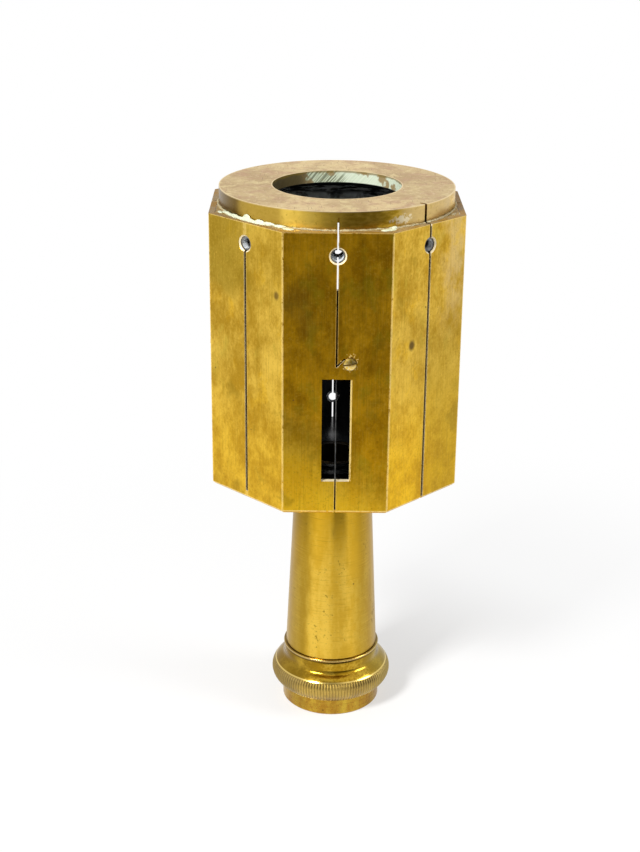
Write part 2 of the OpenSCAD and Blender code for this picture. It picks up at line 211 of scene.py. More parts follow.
class Shader:
    """A node tree under construction, with the maths that the finishes need."""

    def __init__(self, tree: bpy.types.NodeTree) -> None:
        """Empties a node tree and takes it over.

        Args:
            tree: The tree of a material or of the world.
        """
        self.tree = tree
        tree.nodes.clear()
        self._place: bpy.types.NodeSocket | None = None

    def node(
        self,
        kind: str,
        settings: dict[str, object] | None = None,
        inputs: dict[str | int, object] | None = None,
    ) -> bpy.types.Node:
        """Adds a node.

        Args:
            kind: The node's type.
            settings: The node's own settings, made before its sockets are filled.
            inputs: A value or a link for each socket, by the socket's name or number.

        Returns:
            The new node.
        """
        made = self.tree.nodes.new(kind)
        for key, value in (settings or {}).items():
            setattr(made, key, value)
        for key, value in (inputs or {}).items():
            socket = made.inputs[key]
            if isinstance(value, Signal):
                self.tree.links.new(value.socket, socket)
            elif isinstance(value, bpy.types.NodeSocket):
                self.tree.links.new(value, socket)
            elif socket.type == "RGBA":
                socket.default_value = (*value, 1.0)
            else:
                socket.default_value = value
        return made

    def math(self, operation: str, *terms: Number) -> Signal:
        """Adds a Math node.

        Args:
            operation: The Math node's operation.
            terms: The numbers that it works on.

        Returns:
            Its result.
        """
        made = self.node("ShaderNodeMath", {"operation": operation}, dict(enumerate(terms)))
        return Signal(self, made.outputs[0])

    def place(self) -> bpy.types.NodeSocket:
        """The point of the object that is shaded, in the CAD model's frame.

        Returns:
            The point as a vector.
        """
        if self._place is None:
            self._place = self.node("ShaderNodeTexCoord").outputs["Object"]
        return self._place

    def axes(self, vector: bpy.types.NodeSocket | None = None) -> tuple[Signal, Signal, Signal]:
        """Takes a vector apart.

        Args:
            vector: The vector, or None for the shaded point.

        Returns:
            Its x, y and z.
        """
        made = self.node("ShaderNodeSeparateXYZ", inputs={0: vector or self.place()})
        return tuple(Signal(self, out) for out in made.outputs)

    def vector(self, x: Number, y: Number, z: Number) -> bpy.types.NodeSocket:
        """Puts a vector together from three numbers."""
        return self.node("ShaderNodeCombineXYZ", inputs={0: x, 1: y, 2: z}).outputs[0]

    def face_place(self) -> FacePlace:
        """Finds where the shaded point lies on the head's nearest face.

        Returns:
            The place on that face.
        """
        x, y, z = self.axes()
        azimuth = self.math("ARCTAN2", x, 0.0 - y)
        turn = self.math("ROUND", azimuth / EIGHTH_TURN)
        local = azimuth - turn * EIGHTH_TURN
        reach = self.length(x, y)
        return FacePlace(
            along=reach * self.math("SINE", local),
            depth=reach * self.math("COSINE", local),
            z=z,
            turn=turn,
        )

    def round_place(self) -> tuple[Signal, Signal, Signal]:
        """The shaded point's distance from the axis, its angle from the front and its height."""
        x, y, z = self.axes()
        return self.length(x, y), self.math("ARCTAN2", x, 0.0 - y), z

    def scaled(
        self, size: tuple[float, float, float], seed: float, vector: bpy.types.NodeSocket | None
    ) -> bpy.types.NodeSocket:
        """Scales a vector, so that a texture on it has features of a given size.

        Args:
            size: The features' size along each axis.
            seed: Shifts the pattern.
            vector: The vector, or None for the shaded point.

        Returns:
            The scaled vector.
        """
        shift = tuple(seed * step for step in SEED_STEP)
        made = self.node(
            "ShaderNodeVectorMath",
            {"operation": "MULTIPLY_ADD"},
            {0: vector or self.place(), 1: tuple(1 / s for s in size), 2: shift},
        )
        return made.outputs[0]

    def noise(
        self,
        size: float | tuple[float, float, float],
        seed: float = 0.0,
        detail: float = 2.0,
        roughness: float = 0.5,
        vector: bpy.types.NodeSocket | None = None,
    ) -> Signal:
        """A cloudy pattern of numbers round 0.5.

        Args:
            size: The size of its features, the same or along each axis.
            seed: Shifts the pattern.
            detail: How many finer octaves it has.
            roughness: How strong the finer octaves are.
            vector: The vector that it lies on, or None for the shaded point.

        Returns:
            The pattern.
        """
        sizes = (size, size, size) if isinstance(size, float) else size
        made = self.node(
            "ShaderNodeTexNoise",
            inputs={
                "Vector": self.scaled(sizes, seed, vector),
                "Scale": 1.0,
                "Detail": detail,
                "Roughness": roughness,
            },
        )
        return Signal(self, made.outputs[0])

    def spots(self, pitch: float, radius: float, share: float, seed: float = 0.0) -> Signal:
        """Small round spots at random.

        Args:
            pitch: The mean distance between places for a spot.
            radius: The spots' radius.
            share: How many of the places have a spot.
            seed: Shifts the pattern.

        Returns:
            1 in a spot and 0 elsewhere.
        """
        made = self.node(
            "ShaderNodeTexVoronoi",
            inputs={"Vector": self.scaled((pitch, pitch, pitch), seed, None), "Scale": 1.0},
        )
        distance = Signal(self, made.outputs["Distance"])
        chance, _, _ = self.axes(made.outputs["Color"])
        disc = self.smooth(distance, radius / pitch, 0.45 * radius / pitch)
        return disc * self.math("LESS_THAN", chance, share)

    def smooth(self, value: Number, low: float, high: float) -> Signal:
        """Goes softly from 0 at low to 1 at high; low may be the larger of the two.

        Args:
            value: The number.
            low: Where the result is 0.
            high: Where it is 1.

        Returns:
            The result, from 0 to 1.
        """
        made = self.node(
            "ShaderNodeMapRange",
            {"interpolation_type": "SMOOTHSTEP"},
            {0: value, 1: low, 2: high, 3: 0.0, 4: 1.0},
        )
        return Signal(self, made.outputs[0])

    def window(self, value: Number, middle: float, half: float, soft: float) -> Signal:
        """1 within half of the middle, falling to 0 over the soft width outside it."""
        return self.smooth(abs(value - middle), half + soft, half)

    def arc(self, angle: Signal, middle: float, half: float, soft: float) -> Signal:
        """The same as a window, round the axis and in degrees from the front."""
        return self.window(angle, *(math.radians(a) for a in (middle, half, soft)))

    def length(self, x: Signal, y: Signal) -> Signal:
        """The length of a vector that lies in a plane."""
        return self.math("SQRT", x * x + y * y)

    def most(self, *terms: Number) -> Signal:
        """The largest of several numbers.

        Args:
            terms: The numbers.

        Returns:
            The largest.
        """
        largest, *rest = terms
        for term in rest:
            largest = self.math("MAXIMUM", largest, term)
        return largest

    def capped(self, value: Signal) -> Signal:
        """The number, or 1 where it is more."""
        return self.math("MINIMUM", value, 1.0)

    @staticmethod
    def ragged(place: Signal, *patterns: tuple[Signal, float]) -> Signal:
        """Shifts a place by patterns, so that an edge that is drawn by it wanders.

        Args:
            place: The place along one direction.
            patterns: Each pattern round 0.5, with the length over which it shifts the place.

        Returns:
            The shifted place.
        """
        for pattern, over in patterns:
            place = place + (pattern - 0.5) * over
        return place

    def mix(self, share: Number, first: Paint, second: Paint) -> bpy.types.NodeSocket:
        """Mixes two colours.

        Args:
            share: The second colour's share.
            first: The colour at 0.
            second: The colour at 1.

        Returns:
            The mixed colour.
        """
        colours = {0: share, 6: first, 7: second}
        return self.node("ShaderNodeMix", {"data_type": "RGBA"}, colours).outputs[2]

    def layered(self, base: Paint, *coats: Coat) -> Paint:
        """Lays coats of colour over each other.

        Args:
            base: The colour under them.
            coats: Each coat's share and colour, the lowest first.

        Returns:
            The colour that is seen.
        """
        for share, colour in coats:
            base = self.mix(share, base, colour)
        return base

    def bump(self, height: Signal, depth: float) -> bpy.types.NodeSocket:
        """Turns a height pattern into a normal.

        Args:
            height: The pattern.
            depth: The length that a height of 1 stands for.

        Returns:
            The normal.
        """
        made = self.node(
            "ShaderNodeBump", inputs={"Strength": 1.0, "Distance": depth, "Height": height}
        )
        return made.outputs[0]

    def surface(self, **sockets: object) -> None:
        """Adds the surface shader and the output.

        Args:
            sockets: Values or links for the shader's sockets, with _ for each space.
        """
        inputs = {key.replace("_", " "): value for key, value in sockets.items()}
        shader = self.node("ShaderNodeBsdfPrincipled", inputs=inputs)
        self.node("ShaderNodeOutputMaterial", inputs={0: shader.outputs[0]})


@dataclass(frozen=True)
class Finish:
    """A finish that nodes and pieces can take."""

    name: str = "finish"

    def paint(self, sh: Shader) -> None:
        """Builds the finish's nodes in a shader; each kind has its own.

        Args:
            sh: The shader.
        """
        raise NotImplementedError

    def material(self) -> bpy.types.Material:
        """Makes the finish's material.

        Returns:
            The material.
        """
        made = bpy.data.materials.new(self.name)
        made.use_nodes = True
        self.paint(Shader(made.node_tree))
        return made


@dataclass(frozen=True)
class HeadPlan:
    """The head's main sizes, shared by its pieces and their finishes.

    Attributes:
        flat: Distance of the case's faces from the axis.
        inner: Distance of the case's inner walls from the axis.
        low: Height of the case's lower edge.
        high: Height of its upper edge, where the ring sits.
        bevel: Height of the bevel along its lower edge.
        chamfer: Depth of the bright chamfer round the bush holes.
        ring: Radius of the ring's rim.
        bore: Radius of the ring's opening.
        top: Height of the ring's top.
        plate: Thickness of the ring's flat plate.
    """

    flat: float = 40 * MM
    inner: float = 38 * MM
    low: float = 88.3 * MM
    high: float = 179.5 * MM
    bevel: float = 0.8 * MM
    chamfer: float = 0.5 * MM
    ring: float = 37.65 * MM
    bore: float = 20.65 * MM
    top: float = 185.2 * MM
    plate: float = 3.9 * MM


@dataclass(frozen=True)
class SightPlan:
    """Where the cuts and the screws lie on the square-on faces.

    Two of these faces have their window low down, and the two opposite have it high up.

    Attributes:
        half_window: Half the width of the windows.
        low_window: Lower and upper end of the low windows.
        high_window: Lower and upper end of the high windows.
        bridge: Metal left between a window and its slit.
        half_hole: Half the width that the bush holes take up.
        half_slit: Half the width of the slits.
        half_diagonal_slit: Half the width of the slits in the diagonal faces.
        screw_along: Place of a clamp screw along its face.
        screw_over_low: Height of the clamp screws over the low windows.
        screw_under_high: Height of the clamp screws under the high windows.
    """

    half_window: float = 4.4 * MM
    low_window: Span = (99.4 * MM, 133.4 * MM)
    high_window: Span = (138.8 * MM, 168.4 * MM)
    bridge: float = 3.8 * MM
    half_hole: float = 2.8 * MM
    half_slit: float = 0.25 * MM
    half_diagonal_slit: float = 0.5 * MM
    screw_along: float = 4.1 * MM
    screw_over_low: float = 138.5 * MM
    screw_under_high: float = 133.7 * MM

    @staticmethod
    def inverted(face: FacePlace) -> Signal:
        """1 on the rear and left faces, which have their window high up."""
        return face.on(Face.REAR) + face.on(Face.LEFT)

    def from_screw(self, face: FacePlace) -> tuple[Signal, Signal]:
        """The point's distance from its face's clamp screw, to the right and upwards."""
        drop = self.inverted(face) * (self.screw_over_low - self.screw_under_high)
        return face.along - self.screw_along, face.z - self.screw_over_low + drop

    def beside_window(self, sh: Shader, face: FacePlace) -> Signal:
        """1 on a narrow band of the face along the right side of each window.

        Args:
            sh: The shader.
            face: The place on the nearest face.

        Returns:
            Its share, from 0 to 1.
        """
        low_middle = sum(self.low_window) / 2
        high_middle = sum(self.high_window) / 2
        above = face.z - low_middle - self.inverted(face) * (high_middle - low_middle)
        length = (self.low_window[1] - self.low_window[0]) / 2
        inside = sh.smooth(abs(above), length, length - 0.3 * MM)
        band = sh.window(face.along, self.half_window + 0.22 * MM, 0.22 * MM, 0.12 * MM)
        return band * inside * face.square_on()

    def beside_slit(self, sh: Shader, face: FacePlace) -> Signal:
        """1 on a fine line along each side of the slits.

        Args:
            sh: The shader.
            face: The place on the nearest face.

        Returns:
            Its share, from 0 to 1.
        """
        square_on = face.square_on()
        low_top = self.low_window[1] + self.bridge
        low_middle = (self.low_window[0] + low_top) / 2
        low_half = (low_top - self.low_window[0]) / 2
        high_foot = self.high_window[0] - self.bridge
        high_middle = (self.high_window[1] + high_foot) / 2
        from_middle = face.z - low_middle - self.inverted(face) * (high_middle - low_middle)
        sawn = sh.smooth(abs(from_middle), low_half - 0.1 * MM, low_half + 0.1 * MM)
        sawn = sh.most(sawn, 1.0 - square_on)
        half = self.half_diagonal_slit - square_on * (self.half_diagonal_slit - self.half_slit)
        return sh.smooth(abs(face.along) - half, 0.34 * MM, 0.16 * MM) * sawn

    def sill(self, sh: Shader, face: FacePlace) -> Signal:
        """1 on the lower and upper end of the windows, in the wall's thickness."""
        levels = (*self.low_window, *self.high_window)
        return sh.capped(sum(sh.window(face.z, z, 0.05 * MM, 0.05 * MM) for z in levels))


@dataclass(frozen=True)
class CaseGround:
    """The place on the case, with the patterns that its metal is mottled with.

    Attributes:
        sh: The shader that they belong to.
        face: The place on the nearest face.
        clouds: Patches of a finger's width.
        blots: Patches of a few millimetres.
        speckle: Specks of about a millimetre.
        fine: The finest grain.
        grain: The upright lines of drawn metal.
        hue: Where the colour turns greener or more orange.
        tone: 0 in the dark parts and 1 in the light ones.
    """

    sh: Shader
    face: FacePlace
    clouds: Signal
    blots: Signal
    speckle: Signal
    fine: Signal
    grain: Signal
    hue: Signal
    tone: Signal


@dataclass(frozen=True)
class CaseParts:
    """Which parts of the case's surface a point is on, each from 0 to 1.

    Attributes:
        cut: The walls of the windows, slits and holes.
        slots: Those of them that are narrow, which take painted shade.
        upper: The case's upper edge.
        inside: Its inner walls.
    """

    cut: Signal
    slots: Signal
    upper: Signal
    inside: Signal


@dataclass(frozen=True)
class Mark:
    """A single dark stain on the case.

    Attributes:
        side: The face that it is on.
        along: Its distance from the face's middle line, to the right.
        height: Its height.
        radius: Its radius.
        share: How dark it is.
    """

    side: Face
    along: float
    height: float
    radius: float
    share: float


@dataclass(frozen=True)
class CaseBrass(Finish):
    """Drawn and tarnished sheet brass outside, partly painted light and shade, cut walls painted
    cream as if lit, black lacquer inside with a painted sheen.

    A span gives the place where something begins and the place where it is full.

    Attributes:
        head: The head's main sizes.
        plan: Where the cuts and the screws lie.
        rich: The orange metal low on the faces, dark and light.
        scoured_and_reflected: The brighter metal at the front face's foot, partly bare metal and
            partly a painted reflection of the floor, dark and light.
        green_patina: The front face's patina where it is greener.
        slot_shade: The painted shade on the walls of the narrow cuts.
        upper_shade: The painted shade on the upper edge where it is paler.
        orange_heights: Span of the orange metal.
        patina_and_shade_heights: Span of the front face's patina, which is partly painted shade.
        bare_and_reflected_heights: Span of the brighter metal below it, partly bare and partly a
            painted reflection.
        left_shade_heights: Span of the painted shade on the face left of the front.
        left_shade_along: The same along that face.
        right_shade_heights: Span of the painted shade on the face right of the front.
        right_shade_along: The same along that face.
        tan_heights: Span of the tan part at the far side of that face.
        tan_along: The same along that face.
        sheen_heights: Span of the painted sheen on the inner walls.
        sheen_line: Height of a brighter band of that painted sheen.
        marks: The single dark stains.
        mark_aspect: A stain's width as a share of its height.
        scuffed: Radius round a clamp screw within which its scuffs lie.
    """

    name: str = "case_drawn_brass"
    head: HeadPlan = HeadPlan()
    plan: SightPlan = SightPlan()
    rich: Duo = ((0.58, 0.30, 0.004), (0.96, 0.57, 0.012))
    scoured_and_reflected: Duo = ((0.90, 0.50, 0.016), (1.0, 0.61, 0.024))
    green_patina: Color = (0.44, 0.30, 0.008)
    slot_shade: Color = (0.045, 0.030, 0.014)
    upper_shade: Color = (0.26, 0.18, 0.08)
    orange_heights: Span = (142 * MM, 96 * MM)
    patina_and_shade_heights: Span = (97 * MM, 119 * MM)
    bare_and_reflected_heights: Span = (106 * MM, 92 * MM)
    left_shade_heights: Span = (152 * MM, 160 * MM)
    left_shade_along: Span = (5 * MM, -3 * MM)
    right_shade_heights: Span = (165 * MM, 128 * MM)
    right_shade_along: Span = (-8 * MM, 9 * MM)
    tan_heights: Span = (136 * MM, 162 * MM)
    tan_along: Span = (2 * MM, 11 * MM)
    sheen_heights: Span = (164 * MM, 170 * MM)
    sheen_line: float = 172.2 * MM
    marks: tuple[Mark, ...] = (
        Mark(Face.FRONT_RIGHT, -7.2 * MM, 142.4 * MM, 1.25 * MM, 0.85),
        Mark(Face.FRONT_RIGHT, -9.0 * MM, 138.0 * MM, 12.0 * MM, 0.10),
        Mark(Face.FRONT_LEFT, 13.9 * MM, 159.4 * MM, 1.0 * MM, 0.75),
        Mark(Face.FRONT, -12.5 * MM, 158.0 * MM, 4.5 * MM, 0.30),
        Mark(Face.FRONT, -9.0 * MM, 151.0 * MM, 3.2 * MM, 0.22),
    )
    mark_aspect: float = 0.8
    scuffed: float = 4.2 * MM

    def paint(self, sh: Shader) -> None:
        """Builds the nodes.

        Args:
            sh: The shader.
        """
        at = self._ground(sh)
        patina_and_shade, bare_and_reflected = self._front_patina_and_shade(at)
        pits = sh.spots(6 * MM, 0.42 * MM, 0.35, 5.0) + sh.spots(2.2 * MM, 0.15 * MM, 0.32, 6.0)
        pits = sh.capped(pits)
        edge_highlight = self._painted_edge_highlights(at)
        scuffs = self._screw_scuffs(at) * 0.8
        parts = self._parts(at)
        body = sh.layered(
            self._sheet(at),
            # Brighter metal at the front face's foot: partly bare metal, partly a painted
            # reflection of the floor.
            (bare_and_reflected * 0.9, sh.mix(at.tone, *self.scoured_and_reflected)),
            # The front face's patina, partly painted shade high on the face.
            (patina_and_shade * 0.95, self._patina_and_shade_colour(at)),
            *self._weathering(at),
            (pits * 0.75, UMBER),
            (sum(self._mark(at, mark) for mark in self.marks), UMBER),
            (self._scratches(sh) * 0.30, LIGHT_GOLD),
            # Painted highlights along the corners, the ends and beside the windows and slits.
            (edge_highlight, PALE_YELLOW),
            (scuffs, PALE_YELLOW),
            # The cut walls are painted cream as if lit, with painted shade on the narrow ones.
            (parts.cut, self._cut_walls(at, parts)),
            # Painted shade on the case's upper edge under the ring.
            (parts.upper, sh.mix(sh.smooth(at.blots, 0.40, 0.60), self.upper_shade, BROWN)),
            # Painted sheen of the light that falls through the ring onto the black inner walls.
            (parts.inside, sh.mix(self._painted_sheen(at), LACQUER, DUST_AND_SHEEN)),
        )
        outside = 1.0 - parts.inside
        rough = 0.24 + patina_and_shade * 0.06 + at.blots * 0.14 + pits * 0.15 + at.speckle * 0.05
        rough = rough * outside + parts.inside * 0.2
        bright_cut = parts.cut * (1.0 - parts.slots) * (1.0 - parts.upper) * outside
        dull = sh.most(
            bright_cut * 0.75, edge_highlight * 0.6, scuffs * 0.6, parts.upper * 0.8, parts.slots
        )
        height = at.grain * 0.45 + at.fine * 0.35 + at.speckle * 0.8
        height = height + at.blots * 1.6 + at.clouds * 4.0 - pits * 1.2
        sh.surface(
            Base_Color=body,
            Metallic=outside * (1.0 - dull),
            Roughness=rough + dull * 0.3,
            Normal=sh.bump(height * outside, 0.012 * MM),
        )

    @staticmethod
    def _ground(sh: Shader) -> CaseGround:
        """The patterns of the drawn sheet.

        Args:
            sh: The shader.

        Returns:
            The place and the patterns.
        """
        clouds = sh.noise(17 * MM, 1.0, detail=3.0, roughness=0.55)
        blots = sh.noise((6 * MM, 6 * MM, 9 * MM), 2.0, detail=4.0, roughness=0.6)
        speckle = sh.noise((1.1 * MM, 1.1 * MM, 1.7 * MM), 10.0, detail=3.0, roughness=0.7)
        return CaseGround(
            sh=sh,
            face=sh.face_place(),
            clouds=clouds,
            blots=blots,
            speckle=speckle,
            fine=sh.noise((0.16 * MM, 0.16 * MM, 1.2 * MM), 4.0),
            grain=sh.noise((0.30 * MM, 0.30 * MM, 16 * MM), 3.0, detail=3.0),
            hue=sh.noise((8 * MM, 8 * MM, 14 * MM), 21.0, detail=4.0, roughness=0.65),
            tone=sh.smooth(clouds * 0.42 + blots * 0.36 + speckle * 0.22, 0.38, 0.62),
        )

    def _parts(self, at: CaseGround) -> CaseParts:
        """Tells cuts, upper edge and inner walls from the faces.

        Args:
            at: The place and the patterns there.

        Returns:
            The parts.
        """
        sh, face, head = at.sh, at.face, self.head
        bevel_top = head.low + head.bevel
        cut = sh.smooth(face.depth, head.flat - 0.03 * MM, head.flat - 0.08 * MM)
        cut = cut * sh.smooth(face.z, bevel_top - 0.05 * MM, bevel_top)
        return CaseParts(
            cut=cut,
            slots=self._slots(at) * cut,
            upper=sh.smooth(face.z, head.high - 0.06 * MM, head.high - 0.02 * MM),
            inside=sh.smooth(face.depth, head.inner + 0.10 * MM, head.inner + 0.04 * MM),
        )

    def _sheet(self, at: CaseGround) -> Paint:
        """The sheet's own colours, with its greener and its more orange parts, and painted shade
        on the faces beside the front.

        Args:
            at: The place and the patterns there.

        Returns:
            Its colour.
        """
        sh, face = at.sh, at.face
        right = face.on(Face.FRONT_RIGHT)
        low = sh.smooth(sh.ragged(face.z, (at.blots, 20 * MM)), *self.orange_heights)
        orange = sh.most(low * (0.62 + right * 0.30), sh.smooth(at.hue, 0.46, 0.32) * 0.5)
        far_right = right * sh.smooth(face.along, *self.tan_along)
        far_right = far_right * sh.smooth(face.z, *self.tan_heights)
        return sh.layered(
            sh.mix(at.tone, DEEP_GOLD, LIGHT_GOLD),
            (sh.smooth(at.hue, 0.54, 0.70) * 0.5, GREEN_GOLD),
            (orange, sh.mix(at.tone, *self.rich)),
            # Painted shade: darker reflections high on the face left of the front and low on the
            # one right of it.
            (self._reflected_shade(at), OLIVE),
            (far_right * sh.smooth(at.blots, 0.35, 0.60) * 0.6, TAN),
        )

    def _reflected_shade(self, at: CaseGround) -> Signal:
        """Painted shade, as darker reflections: high on the face left of the front, low on the one
        right of it.

        Args:
            at: The place and the patterns there.

        Returns:
            Their share.
        """
        sh, face = at.sh, at.face
        height = sh.ragged(face.z, (at.clouds, 16 * MM), (at.blots, 7 * MM))
        aside = sh.ragged(face.along, (at.clouds, 10 * MM))
        left = face.on(Face.FRONT_LEFT) * sh.smooth(height, *self.left_shade_heights)
        left = left * (0.30 + sh.smooth(aside, *self.left_shade_along) * 0.70)
        right = face.on(Face.FRONT_RIGHT) * sh.smooth(aside, *self.right_shade_along)
        right = right * sh.smooth(height, *self.right_shade_heights)
        return sh.most(left * 0.70, right * 0.48)

    def _front_patina_and_shade(self, at: CaseGround) -> tuple[Signal, Signal]:
        """The front face's darker patina, partly painted shade, and the brighter metal under its
        ragged edge, partly bare and partly a painted reflection of the floor.

        Args:
            at: The place and the patterns there.

        Returns:
            The share of each.
        """
        sh, face = at.sh, at.face
        front = face.on(Face.FRONT)
        ragged = sh.ragged(face.z, (at.clouds, 30 * MM), (at.blots, 12 * MM))
        ragged = ragged + face.along * 0.75
        bare_and_reflected = front * sh.smooth(ragged, *self.bare_and_reflected_heights)
        return front * sh.smooth(ragged, *self.patina_and_shade_heights), bare_and_reflected

    def _patina_and_shade_colour(self, at: CaseGround) -> Paint:
        """The colours of that patina, which is partly painted shade.

        Args:
            at: The place and the patterns there.

        Returns:
            The mixed colour.
        """
        sh = at.sh
        patina_and_shade = sh.mix(at.tone, DEEP_PATINA, PATINA)
        return sh.mix(sh.smooth(at.hue, 0.50, 0.66) * 0.7, patina_and_shade, self.green_patina)

    @staticmethod
    def _weathering(at: CaseGround) -> list[Coat]:
        """The coats of small flecks, of drawn lines and of stains, the lowest first.

        Args:
            at: The place and the patterns there.

        Returns:
            The coats.
        """
        sh = at.sh
        flecks = sh.noise(0.75 * MM, 22.0, detail=3.0, roughness=0.7)
        stains = sh.noise(9 * MM, 7.0, detail=4.0)
        return [
            (sh.smooth(flecks, 0.54, 0.66) * 0.22, LIGHT_GOLD),
            (sh.smooth(flecks, 0.46, 0.34) * 0.26, BROWN),
            (sh.smooth(at.grain, 0.54, 0.74) * 0.16, LIGHT_GOLD),
            (sh.smooth(at.grain, 0.50, 0.28) * 0.30, OLIVE),
            (sh.smooth(stains, 0.60, 0.72) * 0.45, OLIVE),
        ]

    def _mark(self, at: CaseGround, mark: Mark) -> Signal:
        """The share of one single dark stain.

        Args:
            at: The place and the patterns there.
            mark: The stain.

        Returns:
            Its share, from 0 to 1.
        """
        sh, face = at.sh, at.face
        aside, above = face.along - mark.along, (face.z - mark.height) * self.mark_aspect
        reach = sh.length(aside, above)
        spot = sh.smooth(reach, mark.radius * 1.5, mark.radius * 0.5) * mark.share
        return spot * face.on(mark.side)

    @staticmethod
    def _scratches(sh: Shader) -> Signal:
        """Thin straight scratches, most of them upright.

        Args:
            sh: The shader.

        Returns:
            Their share.
        """
        upright = sh.noise((0.13 * MM, 0.13 * MM, 8 * MM), 8.0, detail=0.0)
        level = sh.noise((7 * MM, 7 * MM, 0.13 * MM), 9.0, detail=0.0)
        return sh.capped(sh.smooth(upright, 0.76, 0.82) + sh.smooth(level, 0.79, 0.84) * 0.6)

    def _painted_edge_highlights(self, at: CaseGround) -> Signal:
        """Painted highlights: bright lines on the corners, the ends, and beside the windows and
        slits.

        Args:
            at: The place and the patterns there.

        Returns:
            Their share.
        """
        sh, face, head = at.sh, at.face, self.head
        half = head.flat * math.tan(EIGHTH_TURN / 2)
        edge_highlight = sh.most(
            sh.window(face.z, head.low + head.bevel, 0.14 * MM, 0.16 * MM) * 0.75,
            sh.smooth(face.z, head.high - 0.35 * MM, head.high - 0.15 * MM) * 0.45,
            sh.smooth(abs(face.along), half - 0.42 * MM, half - 0.22 * MM) * 0.55,
            self.plan.beside_window(sh, face) * 0.8,
            self.plan.beside_slit(sh, face) * 0.25,
        )
        return edge_highlight * sh.smooth(at.speckle, 0.28, 0.48)

    def _slots(self, at: CaseGround) -> Signal:
        """1 on the walls of the slits and the bush holes, which take painted shade, not on their
        chamfers.

        Args:
            at: The place and the patterns there.

        Returns:
            Their share.
        """
        sh, face = at.sh, at.face
        floor = self.head.flat - self.head.chamfer
        deep_shade = sh.smooth(face.depth, floor + 0.05 * MM, floor - 0.05 * MM)
        half = self.plan.half_hole
        narrow = sh.smooth(abs(face.along), half + 0.3 * MM, half)
        return deep_shade * narrow * (1.0 - self.plan.sill(sh, face))

    def _cut_walls(self, at: CaseGround, parts: CaseParts) -> Paint:
        """The colour of the walls of the cuts: cream as if lit, a painted light, and painted shade
        where they are narrow.

        Args:
            at: The place and the patterns there.
            parts: The parts of the surface.

        Returns:
            The mixed colour.
        """
        sh = at.sh
        lit_walls = sh.mix(sh.smooth(at.fine, 0.45, 0.70) * 0.35, CREAM, TAN)
        return sh.mix(parts.slots, lit_walls, self.slot_shade)

    def _painted_sheen(self, at: CaseGround) -> Signal:
        """Painted sheen of light high on the inner walls, in a band under the ring and in streaks.

        Args:
            at: The place and the patterns there.

        Returns:
            Its share, from 0 to 1.
        """
        sh, face = at.sh, at.face
        sheen_streaks = sh.noise((5 * MM, 5 * MM, 0.7 * MM), 23.0, detail=3.0, roughness=0.6)
        band = sh.window(face.z, self.sheen_line, 1.0 * MM, 1.6 * MM)
        band = band * sh.smooth(at.blots, 0.36, 0.56)
        sheen_share = sh.most(band, sh.smooth(sheen_streaks, 0.46, 0.60) * 0.6)
        return sheen_share * sh.smooth(face.z, *self.sheen_heights)

    def _screw_scuffs(self, at: CaseGround) -> Signal:
        """Scuffs of the driver round each clamp screw.

        Args:
            at: The place and the patterns there.

        Returns:
            Their share.
        """
        sh, face = at.sh, at.face
        aside, above = self.plan.from_screw(face)
        reach = sh.length(aside, above - 0.6 * MM)
        streaks = sh.noise((0.55 * MM, 0.55 * MM, 0.8 * MM), 9.0, detail=3.0)
        near = sh.smooth(reach, self.scuffed, self.scuffed - 2.0 * MM) * 0.16
        found = sh.smooth(streaks + near, 0.69, 0.80)
        found = found * sh.smooth(reach, self.scuffed, self.scuffed - 0.8 * MM)
        return found * face.square_on()


@dataclass(frozen=True)
class Arc:
    """A stretch of the ring's rim with a colour laid over it; some stretches are painted shade,
    some painted highlights and some tints.

    Attributes:
        middle: Its middle in degrees from the front, to the right.
        half: Half its width in degrees.
        soft: The degrees over which it fades outside that.
        share: How strong its colour is.
        colour: Its colour.
    """

    middle: float
    half: float
    soft: float
    share: float
    colour: Color


@dataclass(frozen=True)
class RingGround:
    """The place on the ring, with the patterns that its metal is mottled with.

    Attributes:
        sh: The shader that they belong to.
        x: Distance from the axis to the right.
        reach: Distance from the axis in any direction.
        angle: Angle round the axis, from the front.
        z: Height.
        clouds: Patches of a finger's width.
        fine: Flecks of about a millimetre.
    """

    sh: Shader
    x: Signal
    reach: Signal
    angle: Signal
    z: Signal
    clouds: Signal
    fine: Signal


